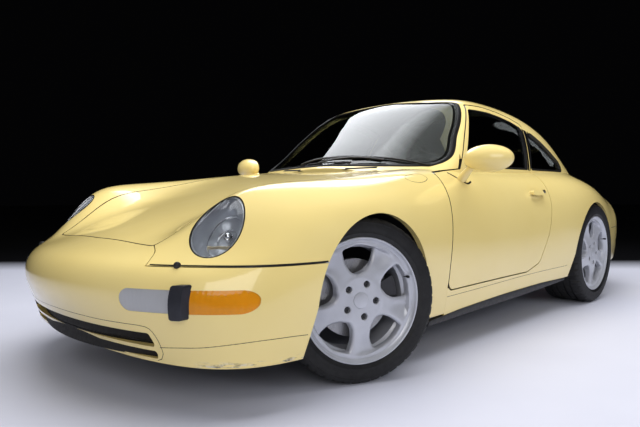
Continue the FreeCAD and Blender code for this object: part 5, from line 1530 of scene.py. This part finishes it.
class SmallParts:
    """Nozzles, wipers, screws, locks, gaskets, mirrors, screens, lid slats and tail fittings."""

    NOZZLE = ((-0.002, 0.0125), (0.003, 0.0125), (0.008, 0.0105), (0.0125, 0.006), (0.0135, 0.0012))
    SCREW = ((-0.001, 0.0048), (0.0012, 0.0048), (0.0020, 0.0036), (0.0012, 0.0012))
    LOCK = ((0.020, 0.0105), (0.0285, 0.0105), (0.0300, 0.009), (0.0292, 0.003))
    WIPERS = (
        ((-0.190, -0.604), (0.140, -0.578), (-0.130, -0.575), (0.330, -0.552)),
        ((-0.050, -0.613), (0.360, -0.556), (0.150, -0.569), (0.600, -0.505)))
    WIPER_ARM = (
        (0.0065, 0), (0.0045, 0.0035), (-0.0045, 0.0035), (-0.0065, 0), (-0.0045, -0.0025),
        (0.0045, -0.0025))
    WIPER_BLADE = (
        (0.004, 0.004), (0.002, 0.007), (-0.002, 0.007), (-0.004, 0.004), (-0.0012, -0.0045),
        (0.0012, -0.0045))
    WIPER_UP = Vector((0, -0.6, 0.8))
    MIRROR_PLACE = (0.876, -0.446, 0.882)
    MIRROR_TURN = math.radians(14)
    MIRROR_HALF = (0.116, 0.064)
    GLASS_HALF = (0.115, 0.0635)
    MIRROR_SHAPE = (
        (-0.062, 0.02), (-0.060, 0.26), (-0.055, 0.47), (-0.045, 0.70), (-0.030, 0.885), (-0.012, 0.985),
        (0.004, 1.0), (0.018, 0.985), (0.026, 0.95), (0.0278, 0.92), (0.026, 0.895), (0.018, 0.885),
        (0.016, 0.02))
    MIRROR_FOOT = (
        (0.716, -0.430, 0.776, 0.036, 0.024), (0.738, -0.436, 0.796, 0.033, 0.021),
        (0.765, -0.444, 0.822, 0.028, 0.017), (0.795, -0.450, 0.846, 0.026, 0.015),
        (0.835, -0.452, 0.866, 0.028, 0.016))
    GASKET = (
        (0.694, -0.492, 0.822), (0.712, -0.478, 0.803), (0.738, -0.442, 0.778), (0.748, -0.407, 0.766),
        (0.742, -0.368, 0.776))
    FLAP = (
        (0.684, -0.789, 0.804), (0.678, -0.745, 0.808), (0.690, -0.712, 0.805), (0.715, -0.708, 0.789),
        (0.731, -0.745, 0.775), (0.736, -0.800, 0.768), (0.728, -0.850, 0.773), (0.712, -0.866, 0.784),
        (0.694, -0.845, 0.797), (0.684, -0.789, 0.804))
    SLATS, FIRST_SLAT, SLAT_PITCH, SLAT_HALF_LENGTH = 9, 1.405, 0.030, 0.34
    GUARD_X = 0.335
    GUARD_HEIGHTS = (
        (0.335, 0.0), (0.338, 0.018), (0.350, 0.024), (0.440, 0.024), (0.452, 0.018), (0.455, 0.0))
    GUARD_SECTION = ((-0.030, 0), (-0.028, 0.8), (-0.020, 1), (0.020, 1), (0.028, 0.8), (0.030, 0))
    PLATE_HEIGHT = 0.395
    PLATE = (
        (-0.252, -0.055), (0.252, -0.055), (0.260, -0.047), (0.260, 0.047), (0.252, 0.055), (-0.252, 0.055),
        (-0.260, 0.047), (-0.260, -0.047))

    def __init__(self, finishes: Finishes, trim: Trim) -> None:
        """Keep the finishes and the trim's skin.

        Args:
            finishes: the car's finishes.
            trim: gives the skin.
        """
        self.finishes = finishes
        self.trim = trim

    def build(self) -> None:
        """Build them all."""
        self.nozzles()
        self.wipers()
        self.door_parts()
        self.mirrors()
        self.cowl()
        self.intake()
        self.flap()
        self.tail()

    def stand(self, spot: Point, way: Point) -> Matrix:
        """A place on the skin, its X axis along the skin's normal.

        Args:
            spot: a point near the skin.
            way: the way into the car.

        Returns:
            The place's matrix.
        """
        point, normal = self.trim.skin.drop(Vector(spot) - Vector(way).normalized() * 0.08, way)
        return Matrix.Translation(point) @ normal.to_track_quat("X", "Z").to_matrix().to_4x4()

    def nozzles(self) -> None:
        """Headlamp washer nozzles and the indicators' screws."""
        bag, screws = Bag(), Bag()
        for side in Side:
            s = side.value
            spot = self.stand((0.560 * s, -1.909, 0.4935), (0, 0.55, -0.83))
            bag.lathe(self.NOZZLE, 28, closed=False, place=spot)
            spot = self.stand((0.752 * s, -1.775, 0.386), (-0.75 * s, 0.66, 0))
            screws.lathe(self.SCREW, 20, closed=False, place=spot)
        self.trim.keep(bag.piece("washer_nozzles", self.finishes.satin, 40))
        self.trim.keep(screws.piece("indicator_screws", self.finishes.steel, 40), slot="steel")

    def wipers(self) -> None:
        """Two wipers parked along the foot of the windscreen."""
        bag = Bag()
        for pivot, elbow, first, last in self.WIPERS:
            bag.lathe([(-0.012, 0.013), (0.012, 0.013), (0.017, 0.010), (0.018, 0.002)], 24, closed=False,
                      place=Matrix.Translation(self.lift(pivot, 0.0)) @ Matrix.Rotation(-math.pi / 2, 4, "Y"))
            arm = [self.lift(Vector(pivot).lerp(Vector(elbow), t), 0.014 + 0.010 * math.sin(math.pi * t))
                   for t in (k / 10 for k in range(11))]
            blade = [self.lift(Vector(first).lerp(Vector(last), k / 24), 0.006) for k in range(25)]
            for line, section in ((arm, self.WIPER_ARM), (blade, self.WIPER_BLADE)):
                bag.grid(along_path(line, section, [self.WIPER_UP] * len(line), False), caps=True)
        self.trim.keep(bag.piece("wipers_parked", self.finishes.satin, 40))

    def lift(self, place: Point, height: float) -> Vector:
        """A point over the skin.

        Args:
            place: its X and Y.
            height: its distance from the skin.

        Returns:
            The point.
        """
        spot, normal = self.trim.skin.drop((place[0], place[1], 1.4), (0, 0, -1))
        return spot + normal * height

    def door_parts(self) -> None:
        """Door locks, mirror gaskets and mirror glass."""
        for side in Side:
            s = side.value
            body = f"door_{side.word}_body"
            bag = Bag()
            spot = self.stand((0.83 * s, 0.326, 0.719), (-1 * s, 0, -0.1))
            bag.lathe(self.LOCK, 28, closed=False, place=spot)
            self.trim.keep(bag.piece(f"door_lock_{side.word}", self.finishes.steel, 40), body, "steel")
            bag = Bag()
            line = smooth_path(self.GASKET, 0.008)
            self.trim.lay(bag, mirrored(line, side), 0.0045, 0.002)
            self.trim.keep(bag.piece(f"mirror_gasket_{side.word}", self.finishes.rubber, 50), body)
            bag = Bag()
            place = mirrored((self.MIRROR_PLACE,), side)[0]
            turn = Matrix.Translation(place) @ Matrix.Rotation(self.MIRROR_TURN * s, 4, "Z")
            half, tall = self.GLASS_HALF
            rows = [[turn @ Vector((half * wide * c, deep, tall * wide * n)) for c, n in unit_circle(64)]
                    for wide, deep in ((0.001, 0.0216), (0.86, 0.0216), (0.875, 0.0208), (0.875, 0.0170))]
            bag.grid(rows, caps=True)
            self.trim.keep(bag.piece(f"mirror_glass_{side.word}", self.finishes.chrome, 40), body, "steel")

    def mirrors(self) -> None:
        """Mirror housings, hollowed at the back for the glass, on their feet."""
        half, tall = self.MIRROR_HALF
        turn = Matrix.Translation(self.MIRROR_PLACE) @ Matrix.Rotation(self.MIRROR_TURN, 4, "Z")
        housing = [[turn @ Vector((half * k * c - 0.010 * (1 - k), y, tall * k * n))
                    for c, n in unit_circle(72)] for y, k in self.MIRROR_SHAPE]
        foot = [[(x + 0.6 * deep * n, y + wide * c, z - 0.8 * deep * n) for c, n in unit_circle(32)]
                for x, y, z, wide, deep in self.MIRROR_FOOT]
        for side in Side:
            bag = Bag()
            for rows in (housing, foot):
                bag.grid([mirrored(row, side) for row in rows], caps=True)
            thing = bag.piece(f"mirror_housing_{side.word}", self.finishes.clean_paint, 50)
            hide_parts(f"mirror_{side.word}")
            self.trim.keep(thing, f"door_{side.word}_body", "paint")

    def intake(self) -> None:
        """Dark screen behind the slots of the front intake."""
        bag = Bag()
        for rise in range(2):
            rows = []
            for k in range(41):
                x = -0.53 + 1.06 * k / 40
                y, low = -2.020 + 0.40 * x * x, 0.180 + 0.052 * rise
                back, top = y + 0.004, low + 0.050
                rows.append([(x, y, low), (x, y, top), (x, back, top), (x, back, low)])
            bag.grid(rows, caps=True)
        self.trim.keep(bag.piece("intake_screen", self.finishes.seam, 30))

    def cowl(self) -> None:
        """Dark slot between the front lid and the windscreen."""
        bag = Bag()
        for s in (-1, 1):
            line = smooth_path([(-0.348 * s, -0.605, 0.850), (-0.171 * s, -0.646, 0.848),
                                (0.0, -0.656, 0.849)], 0.015)
            self.trim.lay(bag, line, 0.007, 0.0006, (0.0, -0.63, 0.3))
        self.trim.keep(bag.piece("cowl_slot", self.finishes.seam, 60))

    def flap(self) -> None:
        """Fine round seam of the fuel flap."""
        bag = Bag()
        line = smooth_path(self.FLAP, 0.01)
        self.trim.lay(bag, line, 0.0012, 0.0003)
        self.trim.keep(bag.piece("flap_seam", self.finishes.seam, 60))

    def tail(self) -> None:
        """Lid slats, tail guards and blank rear plate."""
        skin = self.trim.skin
        slats = Bag()
        for k in range(self.SLATS):
            y = self.FIRST_SLAT + self.SLAT_PITCH * k
            across = [step / 20 * self.SLAT_HALF_LENGTH for step in range(-20, 21)]
            spots = [(x, y, skin.drop((x, y, 1.3), (0, 0, -1))[0].z) for x in across]
            self.trim.lay(slats, spots, 0.0085, 0.004, (0, y, 0.3), 0.001)
        self.trim.keep(slats.piece("lid_slats", self.finishes.satin, 40), "engine_lid_body")
        guards = Bag()
        for s in (-1, 1):
            spot, _ = skin.drop((self.GUARD_X * s, 2.4, 0.40), (0, -1, 0))
            guards.grid([[(self.GUARD_X * s + x, spot.y + deep * e - 0.004, z) for x, e in self.GUARD_SECTION]
                         for z, deep in self.GUARD_HEIGHTS], caps=True)
        self.trim.keep(guards.piece("tail_guards", self.finishes.navy, 40))
        spot, _ = skin.drop((0, 2.4, self.PLATE_HEIGHT), (0, -1, 0))
        plate = Bag()
        plate.grid([[(x + math.copysign(grow, x), spot.y + 0.010 + y, self.PLATE_HEIGHT + z)
                     for x, z in self.PLATE]
                    for y, grow in ((-0.012, 0.0), (0.0015, 0.0), (0.0022, -0.0012))], caps=True)
        self.trim.keep(plate.piece("blank_plate", self.finishes.pale, 40))


@dataclass
class Seat:
    """One front seat: crowned cushion and backrest with bolsters, seams and a headrest grown into it."""

    finishes: Finishes
    side: Side
    middle: float = 0.325

    def pad(self, name: str, spine: Sequence[tuple[float, float, float, float]]) -> bpy.types.Object:
        """A stuffed form along a spine in the seat's middle plane.

        Args:
            name: the piece's name.
            spine: points as y, z, half thickness and half width.

        Returns:
            The pad.
        """
        fine: list[tuple[Vector, float, float]] = []
        raw = [Vector((y, z, 0)) for y, z, _, _ in spine]
        path = smooth_path(raw, 0.02)
        lengths = [0.0]
        for a, b in zip(path, path[1:]):
            lengths.append(lengths[-1] + (b - a).length)
        marks = [min(range(len(path)), key=lambda i, r=r: (path[i] - r).length) for r in raw]
        for i, p in enumerate(path):
            k = max(j for j in range(len(marks)) if marks[j] <= i)
            k = min(k, len(marks) - 2)
            t = (i - marks[k]) / max(1, marks[k + 1] - marks[k])
            fine.append((p, spine[k][2] + (spine[k + 1][2] - spine[k][2]) * t,
                         spine[k][3] + (spine[k + 1][3] - spine[k][3]) * t))
        bag = Bag()
        rows = []
        total = lengths[-1]
        for i, (p, thick, wide) in enumerate(fine):
            before, after = fine[max(i - 1, 0)][0], fine[min(i + 1, len(fine) - 1)][0]
            run = (after - before).normalized()
            up = Vector((-run.y, run.x, 0))
            near = min(lengths[i], total - lengths[i]) / 0.05
            end = math.sqrt(max(0.0, 1 - (1 - min(1.0, near)) ** 2)) * 0.9 + 0.1
            wave = 0.004 * (0.5 + 0.5 * math.cos(lengths[i] / 0.052 * 2 * math.pi))
            ring = []
            for c, n in unit_circle(72):
                across = math.copysign(abs(c) ** 0.55, c)
                high = math.copysign(abs(n) ** 0.7, n)
                bolster = seam = rib = 0.0
                if n > 0:
                    bolster = 0.35 * smooth_step((abs(across) - 0.55) / 0.3)
                    seam = 0.010 * math.exp(-((abs(across) - 0.60) / 0.03) ** 2)
                    rib = wave if abs(across) < 0.56 else 0.0
                level = thick * end * high * (1 + bolster) - (seam + rib) * end * abs(n)
                spot = p + up * level
                x = self.side.value * self.middle + wide * across * (0.35 + 0.65 * end)
                ring.append((x, spot.x, spot.y))
            rows.append(ring)
        bag.grid(rows, caps=True)
        thing = bag.piece(name, self.finishes.leather, 60)
        swell = thing.modifiers.new("smooth", "SUBSURF")
        swell.levels = swell.render_levels = 1
        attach(thing, "root")
        log.info("built %s", name)
        return thing

    def build(self) -> list[bpy.types.Object]:
        """Build cushion and backrest.

        Returns:
            The two pads.
        """
        word = self.side.word
        cushion = self.pad(f"seat_cushion_{word}", [
            (-0.085, 0.330, 0.050, 0.200), (-0.050, 0.350, 0.062, 0.205), (0.100, 0.325, 0.070, 0.206),
            (0.300, 0.305, 0.062, 0.206), (0.400, 0.310, 0.050, 0.200)])
        back = self.pad(f"seat_back_{word}", [
            (0.365, 0.330, 0.045, 0.195), (0.430, 0.480, 0.058, 0.205), (0.490, 0.700, 0.058, 0.206),
            (0.530, 0.860, 0.048, 0.160), (0.552, 0.950, 0.040, 0.120), (0.566, 1.030, 0.034, 0.100)])
        return [cushion, back]


class Cabin:
    """Front seats and the frames they stand on."""

    def __init__(self, finishes: Finishes) -> None:
        """Keep the finishes.

        Args:
            finishes: the car's finishes.
        """
        self.finishes = finishes

    def build(self) -> None:
        """Build frames and seats in place of their solids."""
        bases = Bag()
        for side in Side:
            x = side.value * 0.325
            for dx in (-0.17, 0.17):
                section = ((-0.014, 0.186), (0.014, 0.186), (0.014, 0.262), (-0.014, 0.262))
                bases.grid([[(x + dx + a, y, z) for a, z in section] for y in (-0.02, 0.35)], caps=True)
        base = bases.piece("seat_frames", self.finishes.satin, 30)
        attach(base, "root")
        pieces = [base]
        for side in Side:
            pieces += Seat(self.finishes, side).build()
        for piece in pieces:
            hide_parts("front_seats")


def main() -> None:
    """Build the studio and dress the car."""
    logging.basicConfig(level=logging.INFO, format="%(name)s: %(message)s")
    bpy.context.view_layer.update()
    finishes = Finishes()
    Studio().build()
    Bodywork(finishes).build()
    for end in End:
        for side in Side:
            Wheel(finishes, side, end).build()
    trim = Trim(finishes)
    trim.build()
    for side in Side:
        Headlamp(finishes, side).build()
    SmallParts(finishes, trim).build()
    Cabin(finishes).build()


if __name__ == "__main__":
    main()
